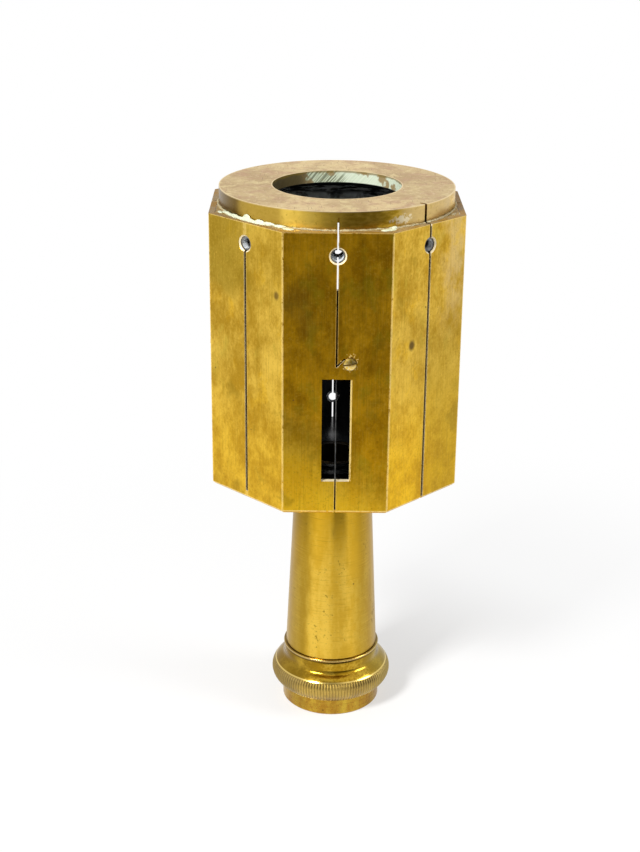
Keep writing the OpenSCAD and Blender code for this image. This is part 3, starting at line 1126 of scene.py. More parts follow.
@dataclass(frozen=True)
class RingBrass(Finish):
    """Dull tan brass on the ring's top, golden on its rim, verdigris in its bore.

    Attributes:
        head: The head's main sizes.
        smudge: The top's large brown smudges.
        pink: Its redder patches.
        yellow: Its yellower patches.
        freckle: Its small dark flecks.
        sheen: Its small light flecks.
        scratch: Its scratches.
        top_edge: The rubbed edges of the top, inside and outside.
        rim_shade: The darker streaks of the rim.
        crisp_edge: The rim's bright upper edge.
        rim_foot: The darker colour along the rim's foot.
        painted_light_and_tint_arcs: The stretches of the rim with a colour laid over them: painted
            shade, painted highlights and tints.
        crust_at: Middle of the chalky crust on the rim, in degrees.
        crust_level: Height of that crust above the case.
        crust_spread: Its height as a share of its width, squared.
        pale_green: The smooth verdigris in the bore.
        tool_mark: The dark tool marks in the bore.
        slant: How far those marks shift round the bore, and stretch, for each rise.
        brown_patches: The brown patches in the bore, at its right and at its left.
        bore_lip_shade: The painted shade along the bore's upper edge.
        chalk_along: Span across the bore where the verdigris begins and is full.
    """

    name: str = "ring_dull_brass"
    head: HeadPlan = HeadPlan()
    smudge: Color = (0.44, 0.28, 0.11)
    pink: Color = (0.52, 0.31, 0.16)
    yellow: Color = (0.80, 0.66, 0.32)
    freckle: Color = (0.40, 0.25, 0.10)
    sheen: Color = (0.88, 0.74, 0.44)
    scratch: Color = (0.32, 0.18, 0.07)
    top_edge: Color = (0.90, 0.74, 0.45)
    rim_shade: Color = (0.54, 0.32, 0.020)
    crisp_edge: Color = (0.88, 0.68, 0.34)
    rim_foot: Color = (0.20, 0.15, 0.07)
    painted_light_and_tint_arcs: tuple[Arc, ...] = (
        # Painted shade at the left, painted highlights beside the front, then brown and tan tints
        # at the right.
        Arc(-76, 20, 12, 0.98, (0.15, 0.085, 0.004)),
        Arc(-38, 12, 8, 0.85, (0.46, 0.30, 0.05)),
        Arc(-17, 5, 7, 0.65, (0.95, 0.66, 0.12)),
        Arc(-4, 5, 5, 0.70, (0.95, 0.62, 0.08)),
        Arc(11, 6, 7, 0.30, BROWN),
        Arc(50, 14, 8, 0.75, TAN),
    )
    crust_at: float = 30.0
    crust_level: float = 2.4 * MM
    crust_spread: float = 0.14
    pale_green: Color = (0.78, 0.86, 0.70)
    tool_mark: Color = (0.12, 0.11, 0.07)
    slant: Span = (0.9, 0.15)
    brown_patches: Duo = ((0.34, 0.24, 0.10), (0.10, 0.065, 0.02))
    bore_lip_shade: Color = (0.22, 0.15, 0.03)
    chalk_along: Span = (-14 * MM, -7 * MM)

    def paint(self, sh: Shader) -> None:
        """Builds the nodes.

        Args:
            sh: The shader.
        """
        head = self.head
        reach, angle, z = sh.round_place()
        x, _, _ = sh.axes()
        clouds = sh.noise(15 * MM, 11.0, detail=4.0, roughness=0.6)
        fine = sh.noise(1.5 * MM, 12.0, detail=4.0, roughness=0.7)
        at = RingGround(sh, x, reach, angle, z, clouds, fine)
        on_top = sh.smooth(z, head.top - 0.10 * MM, head.top - 0.04 * MM)
        in_bore = sh.smooth(reach, head.bore + 0.12 * MM, head.bore + 0.05 * MM)
        bore_wall = in_bore * (1.0 - on_top)
        soffit = head.top - head.plate
        under = sh.smooth(z, soffit + 0.1 * MM, soffit)
        under = under * sh.smooth(reach, head.ring - 0.4 * MM, head.ring - 0.8 * MM)
        chalky = bore_wall * sh.smooth(x, *self.chalk_along)
        sh.surface(
            Base_Color=sh.layered(
                self._rim(at),
                (on_top, self._top(at)),
                (bore_wall, self._bore(at)),
                (under, LACQUER),
            ),
            Metallic=1.0 - chalky * 0.75 - under * 0.25,
            Roughness=0.24 + sh.most(on_top * 0.14, in_bore * 0.25) + fine * 0.14,
            Normal=sh.bump(clouds * 2.5 + fine * 1.2, 0.014 * MM),
        )

    def _top(self, at: RingGround) -> Paint:
        """The scuffed top, browner at the sides, with light edges.

        Args:
            at: The place and the patterns there.

        Returns:
            Its colour.
        """
        sh, reach, fine, head = at.sh, at.reach, at.fine, self.head
        aside = sh.smooth(abs(sh.math("SINE", at.angle)), 0.35, 0.95)
        pink = sh.noise(5 * MM, 19.0, detail=4.0, roughness=0.6)
        scuffs = sh.smooth(sh.noise((6 * MM, 0.22 * MM, 3 * MM), 13.0, detail=1.0), 0.66, 0.73)
        across = sh.smooth(sh.noise((0.24 * MM, 5 * MM, 3 * MM), 18.0, detail=1.0), 0.68, 0.75)
        rims = sh.most(
            sh.smooth(reach, head.ring - 0.5 * MM, head.ring - 0.2 * MM),
            sh.smooth(reach, head.bore + 0.5 * MM, head.bore + 0.2 * MM),
        )
        return sh.layered(
            sh.mix(aside, PALE_TAN, TAN),
            (sh.smooth(at.clouds, 0.54, 0.40) * 0.60, self.smudge),
            (sh.smooth(pink, 0.51, 0.64) * 0.70, self.pink),
            (sh.smooth(pink, 0.46, 0.34) * 0.60, self.yellow),
            (sh.smooth(fine, 0.52, 0.68) * 0.30, self.freckle),
            (sh.smooth(fine, 0.47, 0.33) * 0.35, self.sheen),
            (sh.most(scuffs, across) * 0.8, self.scratch),
            (sh.spots(8 * MM, 0.45 * MM, 0.4, 14.0) * 0.55, BROWN),
            (rims * 0.6, self.top_edge),
        )

    def _rim(self, at: RingGround) -> Paint:
        """The rim: painted shade at the left, painted highlights beside the front, tan and chalky
        at the right.

        Args:
            at: The place and the patterns there.

        Returns:
            Its colour.
        """
        sh, z, fine, head = at.sh, at.z, at.fine, self.head
        streak = sh.noise((2.5 * MM, 2.5 * MM, 0.8 * MM), 15.0, detail=4.0, roughness=0.6)
        turn = sh.ragged(at.angle, (at.clouds, 0.25))
        aside = (at.angle - math.radians(self.crust_at)) * head.ring
        above = z - (head.high + self.crust_level)
        patch = sh.math("SQRT", aside * aside * self.crust_spread + above * above)
        crust = sh.smooth(sh.ragged(patch, (fine, 4.5 * MM)), 1.5 * MM, 0.8 * MM)
        return sh.layered(
            sh.mix(sh.smooth(streak, 0.34, 0.68), self.rim_shade, LIGHT_GOLD),
            *(
                (sh.arc(turn, arc.middle, arc.half, arc.soft) * arc.share, arc.colour)
                for arc in self.painted_light_and_tint_arcs
            ),
            (sh.smooth(fine, 0.54, 0.68) * 0.40, OLIVE),
            (sh.smooth(z, head.top - 0.42 * MM, head.top - 0.16 * MM) * 0.45, self.crisp_edge),
            (sh.smooth(z, head.high + 1.1 * MM, head.high + 0.5 * MM) * 0.45, self.rim_foot),
            (crust * 0.9, CREAM),
        )

    def _bore(self, at: RingGround) -> Paint:
        """The bore: brown at the left, then steep dark tool marks, then smooth verdigris, with
        painted shade along its upper edge.

        Args:
            at: The place and the patterns there.

        Returns:
            Its colour.
        """
        sh, z, top = at.sh, at.z, self.head.top
        across = at.x / self.head.bore
        shift, stretch = self.slant
        slanted = sh.vector(at.angle * self.head.bore + z * shift, z * stretch, 0.0)
        marks = sh.noise((0.55 * MM, 2.0 * MM, 1.0), 16.0, detail=1.0, vector=slanted)
        brown = sh.noise(4.5 * MM, 17.0, detail=4.0)
        left = sh.smooth(across, -0.30, -0.62)
        pale = sh.smooth(sh.ragged(across, (brown, 0.6)), -0.05, 0.15)
        marked = sh.window(across, -0.18, 0.22, 0.15) * sh.smooth(marks, 0.52, 0.44)
        patches = sh.smooth(brown + left * 0.32, 0.54, 0.62)
        # Painted shade along the bore's upper edge.
        lip = sh.smooth(sh.ragged(z, (brown, 1.6 * MM)), top - 0.9 * MM, top - 0.4 * MM)
        return sh.layered(
            sh.mix(sh.smooth(marks, 0.40, 0.60), VERDIGRIS, CHALK_GREEN),
            (pale * 0.6, self.pale_green),
            (marked * 0.7, self.tool_mark),
            (patches * 0.95, sh.mix(left, *self.brown_patches)),
            (lip * 0.75, self.bore_lip_shade),
            (sh.smooth(at.fine, 0.60, 0.75) * 0.4, DEEP_GOLD),
        )


@dataclass(frozen=True)
class TurnedBrass(Finish):
    """Brass from the lathe, with fine tool marks, upright smears, old stains and upright bands of
    painted shade and reflection.

    Attributes:
        body: The metal's main colour.
        light: Its colour where it is cleaner.
        stain_and_shade: The colour of its stains and of its painted shade.
        dullness: The metal's roughness.
        stain_and_shade_share: How strong the stains and the painted shade are.
        seed: Shifts the patterns.
        outline: Radius and height of the outside's lower and upper end; painted shade darkens the
            metal where it lies further in. None for a piece that is bright all over.
        wrap: Radius by which angles are turned into lengths.
        orange_heights: Heights where the orange tint begins and is full on an outline.
        head_shade_heights: Heights where the painted shade under the head begins and is full.
        left_band: Angles where the painted shade at the left begins and is full.
        right_band: The same at the right.
        middle_band: Middle, half width and softness of the band right of the front.
        bright_band: The same of the brighter band left of it, which the painted shade under the
            head leaves out.
    """

    name: str = "turned_brass"
    body: Color = GOLD
    light: Color = LIGHT_GOLD
    stain_and_shade: Color = OLIVE
    dullness: float = 0.26
    stain_and_shade_share: float = 0.5
    seed: float = 20.0
    outline: tuple[Span, Span] | None = None
    wrap: float = 14 * MM
    orange_heights: Span = (45 * MM, 84 * MM)
    head_shade_heights: Span = (56 * MM, 80 * MM)
    left_band: Span = (-0.42, -0.72)
    right_band: Span = (0.30, 0.85)
    middle_band: tuple[float, float, float] = (0.17, 0.09, 0.18)
    bright_band: tuple[float, float, float] = (-0.26, 0.08, 0.20)

    def paint(self, sh: Shader) -> None:
        """Builds the nodes.

        Args:
            sh: The shader.
        """
        reach, angle, z = sh.round_place()
        wrapped = sh.vector(angle * self.wrap, z, reach)
        rings = sh.noise((9 * MM, 0.26 * MM, 1.0), self.seed, vector=wrapped)
        smears = sh.noise((3.2 * MM, 40 * MM, 1.0), self.seed + 4, detail=3.0, vector=wrapped)
        clouds = sh.noise((7 * MM, 7 * MM, 13 * MM), self.seed + 1, detail=4.0, roughness=0.6)
        fine = sh.noise(1.2 * MM, self.seed + 2, detail=4.0, roughness=0.65)
        tone = sh.smooth(clouds * 0.45 + smears * 0.35 + fine * 0.2, 0.42, 0.58)
        stains = sh.smooth(clouds * 0.4 + fine * 0.6, 0.56, 0.68)
        pits = sh.spots(6 * MM, 0.45 * MM, 0.35, self.seed + 3)
        body = sh.mix(tone, self.body, self.light)
        if self.outline:
            body = sh.mix(sh.smooth(z, *self.orange_heights) * 0.6, body, ORANGE_GOLD)
        body = sh.layered(
            body,
            # Painted shade and painted reflection: upright darker bands at the sides and under the
            # head.
            (self._reflected_bands(sh, angle, z, clouds) * self.stain_and_shade_share, self.stain_and_shade),
            (sh.smooth(rings, 0.58, 0.72) * 0.22, self.light),
            (sh.smooth(rings, 0.42, 0.30) * 0.30, self.stain_and_shade),
            (stains * self.stain_and_shade_share, self.stain_and_shade),
            (pits * 0.7, UMBER),
        )
        # Painted shade where the metal lies further in than the outline.
        if self.outline:
            body = sh.mix(self._shaded_within(sh, reach, z), body, SHADE_BLACK)
        height = rings * 0.8 + fine * 0.7 + smears * 1.5 + clouds * 2.5 - pits * 1.5
        sh.surface(
            Base_Color=body,
            Metallic=1.0,
            Roughness=self.dullness + fine * 0.12 + stains * 0.12,
            Normal=sh.bump(height, 0.010 * MM),
        )

    def _reflected_bands(self, sh: Shader, angle: Signal, z: Signal, clouds: Signal) -> Signal:
        """Upright bands of painted shade and painted reflection, strong under the head and at the
        sides.

        Args:
            sh: The shader.
            angle: Angle round the axis.
            z: Height.
            clouds: Large patches.

        Returns:
            Their share.
        """
        turn = sh.ragged(angle, (clouds, 0.35))
        top = sh.smooth(sh.ragged(z, (clouds, 16 * MM)), *self.head_shade_heights)
        left = sh.smooth(turn, *self.left_band) * (0.72 + top * 0.20)
        right = sh.smooth(turn, *self.right_band) * 0.70
        middle = sh.window(turn, *self.middle_band) * (0.25 + top * 0.62)
        bright = sh.window(turn, *self.bright_band)
        return sh.most(left, right, middle) + top * 0.14 * (1.0 - bright)

    def _shaded_within(self, sh: Shader, reach: Signal, z: Signal) -> Signal:
        """1 where the metal lies further in than the outline, which takes painted shade.

        Args:
            sh: The shader.
            reach: Distance from the axis.
            z: Height.

        Returns:
            The result, from 0 to 1.
        """
        (low_r, low_z), (high_r, high_z) = self.outline
        outside = (z - low_z) * ((high_r - low_r) / (high_z - low_z)) + low_r
        return sh.smooth(reach - outside, -0.5 * MM, -0.8 * MM)


@dataclass(frozen=True)
class CollarPlan:
    """The collar's sizes, for its mesh and for its finish.

    Attributes:
        middle: Distance of the bulge's centre of curvature from the axis.
        half_width: The bulge's half axis across.
        half_height: The bulge's half axis upwards.
        level: Height of the bulge's widest part.
        low: Height of the collar's lower end.
        high: Height of its upper end.
        neck: Radius of the neck.
        bead: Radius of the bead's section.
        thread: Radius of the inner bore below.
        lip: Radius of the inner bore above.
        lip_low: Height where the lip begins.
        knurl_low: Height where the knurl begins.
        knurl_high: Height where it ends.
    """

    middle: float = 7.32 * MM
    half_width: float = 13.6 * MM
    half_height: float = 7.54 * MM
    level: float = 10.89 * MM
    low: float = 6.45 * MM
    high: float = 21.55 * MM
    neck: float = 16.5 * MM
    bead: float = 0.5 * MM
    thread: float = 15.28 * MM
    lip: float = 15.58 * MM
    lip_low: float = 18.6 * MM
    knurl_low: float = 7.0 * MM
    knurl_high: float = 13.9 * MM

    @property
    def widest(self) -> float:
        """The bulge's largest radius."""
        return self.middle + self.half_width

    @property
    def bend(self) -> float:
        """Height where the bulge would meet the neck."""
        slope = math.acos(1 - (self.widest - self.neck) / self.half_width)
        return self.level + self.half_height * math.sin(slope)

    def bulge_at(self, z: float) -> tuple[float, float]:
        """The bulge's radius and height at a height."""
        share = (z - self.level) / self.half_height
        return self.middle + self.half_width * math.sqrt(1 - share * share), z


@dataclass(frozen=True)
class CollarBrass(Finish):
    """Polished brass on the collar's bulge with painted shade at its flanks, darker in its knurl's
    roots, with painted shade beside its bead and a painted highlight on it.

    Attributes:
        plan: The collar's sizes.
        polish: The polished metal, dark and light.
        right_shade: The painted shade at the right.
        left_shade: The painted shade at the left.
        knurl_tan: Its colour on the knurl.
    """

    name: str = "collar_polished_brass"
    plan: CollarPlan = CollarPlan()
    polish: Duo = ((0.36, 0.20, 0.010), (0.66, 0.42, 0.045))
    right_shade: Color = (0.26, 0.20, 0.035)
    left_shade: Color = (0.20, 0.12, 0.012)
    knurl_tan: Color = (0.48, 0.38, 0.17)

    def paint(self, sh: Shader) -> None:
        """Builds the nodes.

        Args:
            sh: The shader.
        """
        plan = self.plan
        reach, angle, z = sh.round_place()
        clouds = sh.noise(6 * MM, 31.0, detail=4.0, roughness=0.55)
        fine = sh.noise(0.9 * MM, 32.0, detail=4.0, roughness=0.6)
        left = sh.smooth(sh.ragged(angle, (clouds, 0.8)), -0.35, -0.75)
        knurl = sh.smooth(z, plan.knurl_high + 0.1 * MM, plan.knurl_high - 0.2 * MM)
        ledge = sh.window(z, plan.knurl_high + 0.25 * MM, 0.12 * MM, 0.15 * MM)
        bead = sh.window(z, plan.high - plan.bead, 0.22 * MM, 0.15 * MM)
        body = sh.layered(
            sh.mix(sh.smooth(clouds * 0.6 + fine * 0.4, 0.42, 0.60), *self.polish),
            # Painted shade: darker reflections at the right and left flanks.
            (sh.smooth(angle, 0.35, 1.2) * 0.7, self.right_shade),
            (left * 0.72, self.left_shade),
            (sh.smooth(fine, 0.56, 0.68) * 0.45, BROWN),
            (knurl * 0.4, self.knurl_tan),
            # Darker in the knurl's roots; painted shade in the corners over and under the bead.
            (self._dark_roots_and_shade(sh, reach, z) * sh.smooth(fine, 0.22, 0.55) * 0.85, UMBER),
            (ledge * 0.6, PALE_YELLOW),
            # Painted highlight on the bead.
            (bead * 0.55, PALE_TAN),
        )
        sh.surface(
            Base_Color=body,
            Metallic=1.0,
            Roughness=0.11 + knurl * 0.14 + fine * 0.12 + bead * 0.1,
            Normal=sh.bump(clouds * 4.0 + fine * 1.0, 0.010 * MM),
        )

    def _dark_roots_and_shade(self, sh: Shader, reach: Signal, z: Signal) -> Signal:
        """Where it is darker: the knurl's roots, and painted shade in the corners over and under
        the bead.

        Args:
            sh: The shader.
            reach: Distance from the axis.
            z: Height.

        Returns:
            Its share, from 0 to 1.
        """
        plan = self.plan
        share = (z - plan.level) / plan.half_height
        bulge = sh.math("SQRT", 1.0 - share * share) * plan.half_width + plan.middle
        roots = sh.smooth(bulge - reach, 0.05 * MM, 0.20 * MM)
        roots = roots * sh.smooth(z, plan.knurl_high + 0.3 * MM, plan.knurl_high)
        under = sh.window(z, plan.high - 2 * plan.bead - 0.15 * MM, 0.12 * MM, 0.25 * MM)
        over = sh.smooth(z, plan.high - 0.12 * MM, plan.high - 0.03 * MM)
        return sh.most(roots * 0.55, under, over)


@dataclass(frozen=True)
class Lacquer(Finish):
    """Black lacquer on the inner fittings, dull brass where they show outside.

    Attributes:
        black_above: Height above which a piece is lacquered.
        black_below: Height below which a piece is lacquered.
        metal: The brass, light and dark.
    """

    name: str = "inner_black_lacquer"
    black_above: float = 89.3 * MM
    black_below: float = 179.4 * MM
    metal: Duo = ((0.37, 0.25, 0.085), (0.27, 0.17, 0.045))

    def paint(self, sh: Shader) -> None:
        """Builds the nodes.

        Args:
            sh: The shader.
        """
        _, _, z = sh.axes()
        fine = sh.noise(2.5 * MM, 41.0, detail=4.0, roughness=0.6)
        specks = sh.spots(3.5 * MM, 0.14 * MM, 0.25, 42.0)
        black = sh.smooth(z, self.black_above, self.black_above + 0.05 * MM)
        black = black * sh.smooth(z, self.black_below, self.black_below - 0.05 * MM)
        metal = sh.mix(sh.smooth(fine, 0.30, 0.75), *self.metal)
        sh.surface(
            Base_Color=sh.mix(black, metal, sh.mix(specks * 0.14, LACQUER, DUST_AND_SHEEN)),
            Metallic=(1.0 - black) * 0.35,
            Roughness=0.52 - black * 0.38 + fine * 0.10,
            Normal=sh.bump(fine, 0.010 * MM),
        )


@dataclass(frozen=True)
class WhiteMetal(Finish):
    """Grey white metal of the peep bushes, with painted shade at their mouths, deep in the
    diagonal ones and at their inner ends.

    Attributes:
        mouth: Distance of the bushes' outer end faces from the head's axis.
        lip: Distance of the tubular bushes' inner lips from it.
        metal: The metal, dark and light.
        end_shade: The painted shade on the end faces.
    """

    name: str = "bush_white_metal"
    mouth: float = 39.3 * MM
    lip: float = 32.8 * MM
    metal: Duo = ((0.66, 0.70, 0.74), (0.82, 0.86, 0.88))
    end_shade: Color = (0.06, 0.05, 0.035)

    def paint(self, sh: Shader) -> None:
        """Builds the nodes.

        Args:
            sh: The shader.
        """
        fine = sh.noise(0.7 * MM, 51.0, detail=4.0, roughness=0.6)
        face = sh.face_place()
        deep_shade = sh.smooth(face.depth, self.mouth - 1.3 * MM, self.mouth - 2.3 * MM)
        end = sh.smooth(face.depth, self.mouth - 0.10 * MM, self.mouth - 0.04 * MM)
        body = sh.layered(
            sh.mix(sh.smooth(fine, 0.40, 0.60), *self.metal),
            # Painted shade deep in the diagonal bushes, on the tubular bushes' inner lips and on
            # the end faces.
            (deep_shade * (1.0 - face.square_on()) * 0.95, SHADE_BLACK),
            (sh.smooth(face.depth, self.lip + 0.5 * MM, self.lip + 0.2 * MM), SHADE_BLACK),
            (end * 0.9, self.end_shade),
        )
        sh.surface(
            Base_Color=body,
            Metallic=0.0,
            Roughness=0.40 + fine * 0.16,
            Normal=sh.bump(fine, 0.010 * MM),
        )


@dataclass(frozen=True)
class HairWire(Finish):
    """Dull dark wire of the sight hairs.

    Attributes:
        wire: The wire's colours, dark and light.
    """

    name: str = "sight_hair_wire"
    wire: Duo = ((0.04, 0.042, 0.044), (0.1, 0.1, 0.1))

    def paint(self, sh: Shader) -> None:
        """Builds the nodes.

        Args:
            sh: The shader.
        """
        fine = sh.noise((0.4 * MM, 0.4 * MM, 1.5 * MM), 61.0, detail=3.0)
        sh.surface(
            Base_Color=sh.mix(sh.smooth(fine, 0.42, 0.6), *self.wire),
            Metallic=0.6,
            Roughness=0.42 + fine * 0.2,
            Normal=sh.bump(fine, 0.006 * MM),
        )


@dataclass(frozen=True)
class OldSolder(Finish):
    """Pale soft solder, chalky and green where it has corroded.

    Attributes:
        solder: The solder, dark and light.
        crest_heights: Heights between which a lump rises over the run and turns chalky.
        crest_reach: Distances from the axis that do the same.
    """

    name: str = "old_solder"
    solder: Duo = ((0.30, 0.24, 0.12), (0.50, 0.42, 0.24))
    crest_heights: Span = (179.75 * MM, 180.1 * MM)
    crest_reach: Span = (38.4 * MM, 38.8 * MM)

    def paint(self, sh: Shader) -> None:
        """Builds the nodes.

        Args:
            sh: The shader.
        """
        reach, angle, z = sh.round_place()
        fine = sh.noise(0.8 * MM, 71.0, detail=4.0, roughness=0.65)
        patches = sh.noise(5 * MM, 72.0, detail=3.0)
        patched = sh.most(sh.arc(angle, -42, 20, 10), sh.arc(angle, 22.5, 3, 3))
        crest = sh.smooth(z, *self.crest_heights) + sh.smooth(reach, *self.crest_reach)
        lumpy = patched * sh.capped(crest)
        chalk = sh.smooth(patches * 0.5 + fine * 0.45 + lumpy * 0.33, 0.52, 0.68)
        body = sh.layered(
            sh.mix(sh.smooth(fine, 0.40, 0.62), *self.solder),
            (chalk * 0.9, CHALK_GREEN),
            (sh.smooth(fine, 0.60, 0.72) * 0.6, UMBER),
        )
        sh.surface(
            Base_Color=body,
            Metallic=0.2,
            Roughness=0.48 + fine * 0.2,
            Normal=sh.bump(fine, 0.06 * MM),
        )


@dataclass(frozen=True)
class ScrewBrass(Finish):
    """Handled brass of the clamp screws, darker in the driver slots and above their middle.

    Attributes:
        plan: Where the screws lie.
        slot: Distance of the slots' floor from the head's axis.
        rubbed: The metal where it is rubbed bright.
    """

    name: str = "screw_brass"
    plan: SightPlan = SightPlan()
    slot: float = 40.45 * MM
    rubbed: Color = (0.92, 0.74, 0.36)

    def paint(self, sh: Shader) -> None:
        """Builds the nodes.

        Args:
            sh: The shader.
        """
        face = sh.face_place()
        fine = sh.noise(0.5 * MM, 81.0, detail=4.0, roughness=0.6)
        _, above = self.plan.from_screw(face)
        darker_above = sh.smooth(sh.ragged(above, (fine, 2.5 * MM)), 0.1 * MM, 0.7 * MM)
        groove = sh.smooth(face.depth, self.slot + 0.16 * MM, self.slot + 0.06 * MM)
        body = sh.layered(
            sh.mix(sh.smooth(fine, 0.40, 0.60), LIGHT_GOLD, self.rubbed),
            (darker_above * 0.55, OLIVE),
            (groove * 0.8, UMBER),
        )
        sh.surface(
            Base_Color=body,
            Metallic=1.0,
            Roughness=0.24 + fine * 0.16,
            Normal=sh.bump(fine, 0.030 * MM),
        )


class Bench:
    """The operators that the pieces are modelled with."""

    @staticmethod
    def clear() -> None:
        """Deselects everything, so that an operator acts on the new piece alone."""
        bpy.ops.object.select_all(action="DESELECT")

    @staticmethod
    def only(piece: bpy.types.Object) -> None:
        """Makes a piece the one selected and active object.

        Args:
            piece: The piece.
        """
        Bench.clear()
        piece.select_set(True)
        bpy.context.view_layer.objects.active = piece

    @staticmethod
    @contextmanager
    def editing(piece: bpy.types.Object) -> Iterator[None]:
        """Opens a piece in edit mode, with all of it selected, and closes it again.

        Args:
            piece: The piece.

        Returns:
            A context for a with statement.
        """
        Bench.only(piece)
        bpy.ops.object.mode_set(mode="EDIT")
        bpy.ops.mesh.select_mode(type="VERT")
        bpy.ops.mesh.select_all(action="SELECT")
        yield
        bpy.ops.object.mode_set(mode="OBJECT")

    @staticmethod
    def pick(piece: bpy.types.Object, wanted: Callable[[Vector], bool]) -> int:
        """Selects the points of a piece in edit mode by their place.

        Args:
            piece: The piece, in edit mode.
            wanted: Says whether a point at a place is selected.

        Returns:
            How many points are selected.
        """
        shape = bmesh.from_edit_mesh(piece.data)
        for point in shape.verts:
            point.select = wanted(point.co)
        shape.select_flush(True)
        bmesh.update_edit_mesh(piece.data)
        return sum(point.select for point in shape.verts)

    @staticmethod
    def modified(piece: bpy.types.Object, kind: str, **settings: object) -> None:
        """Adds a modifier with its settings and applies it.

        Args:
            piece: The piece.
            kind: The modifier's type.
            settings: Its settings.
        """
        Bench.only(piece)
        made = piece.modifiers.new(kind.lower(), kind)
        for key, value in settings.items():
            setattr(made, key, value)
        bpy.ops.object.modifier_apply(modifier=made.name)

    @staticmethod
    def settle(piece: bpy.types.Object) -> None:
        """Puts a piece's place and size into its mesh, so that it sits at the origin."""
        Bench.only(piece)
        bpy.ops.object.transform_apply(location=True, rotation=True, scale=True)

    @staticmethod
    def lathe(name: str, profile: list[tuple[float, float]], steps: int) -> bpy.types.Object:
        """Turns a closed profile round the Z axis.

        Args:
            name: The new piece's name.
            profile: The profile's corners as radius and height; the last joins the first.
            steps: How many columns the turned mesh has.

        Returns:
            The new piece.
        """
        Bench.clear()
        bpy.ops.mesh.primitive_plane_add(size=1.0)
        piece = bpy.context.object
        piece.name = name
        with Bench.editing(piece):
            bpy.ops.mesh.merge(type="CENTER")
            start = profile[0]
            bpy.ops.transform.translate(value=(0.0, -start[0], start[1]))
            for here, there in zip(profile, (*profile[1:], start)):
                step = (0.0, here[0] - there[0], there[1] - here[1])
                bpy.ops.mesh.extrude_region_move(TRANSFORM_OT_translate={"value": step})
            bpy.ops.mesh.select_all(action="SELECT")
            bpy.ops.mesh.spin(steps=steps, angle=2 * math.pi, center=ORIGIN, axis=UP)
            bpy.ops.mesh.select_all(action="SELECT")
            bpy.ops.mesh.remove_doubles(threshold=MERGE_WITHIN)
            bpy.ops.mesh.normals_make_consistent(inside=False)
        return piece


class Nodes:
    """The CAD nodes of the frame, which are dressed and never changed."""

    @staticmethod
    def dress(finish: Finish, *names: str) -> None:
        """Gives CAD nodes a finish.

        Args:
            finish: The finish.
            names: The nodes' names.
        """
        material = finish.material()
        for name in names:
            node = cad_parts[name]
            if not node.material_slots:
                node.data.materials.append(material)
            for slot in node.material_slots:
                slot.material = material
            log.info("node %s takes %s", name, finish.name)


@dataclass
class SubAssembly:
    """A group of pieces and nodes that is built and dressed together."""

    body: str = "head"

    def build(self) -> None:
        """Models the pieces that replace CAD nodes, if there are any."""

    def dress(self) -> None:
        """Gives the CAD nodes their finishes."""

    def fit(self, piece: bpy.types.Object, finish: Finish, node: str, slot: str) -> None:
        """Dresses a new piece, lets it ride on the body and stand for its CAD node.

        Args:
            piece: The piece.
            finish: Its finish.
            node: The CAD node that it replaces.
            slot: The name of the piece's material slot; not used.
        """
        piece.data.materials.clear()
        piece.data.materials.append(finish.material())
        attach(piece, self.body)
        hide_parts(node)
        log.info("piece %s stands for %s: %d faces", piece.name, node, len(piece.data.polygons))


@dataclass
class OctagonalCase(SubAssembly):
    """The eight-sided case with its slits and windows."""

    finish: CaseBrass = CaseBrass()

    def dress(self) -> None:
        """Gives the case its finish."""
        Nodes.dress(self.finish, "octagonal_case")


@dataclass
class TopRing(SubAssembly):
    """The round ring on the head, with the seat plate that carries it."""

    finish: RingBrass = RingBrass()
    seat: Lacquer = Lacquer("seat_lacquer_and_brass", 0.0, 179.45 * MM)

    def dress(self) -> None:
        """Gives the ring and its seat their finishes."""
        Nodes.dress(self.finish, "top_ring")
        Nodes.dress(self.seat, "seat_plate")


@dataclass(frozen=True)
class Lump:
    """A lump of solder.

    Attributes:
        azimuth: Its turn from the front, in degrees, to the right.
        reach: Its distance from the head's axis.
        size: Its size along the seam, across it and upwards.
    """

    azimuth: float
    reach: float
    size: tuple[float, float, float]


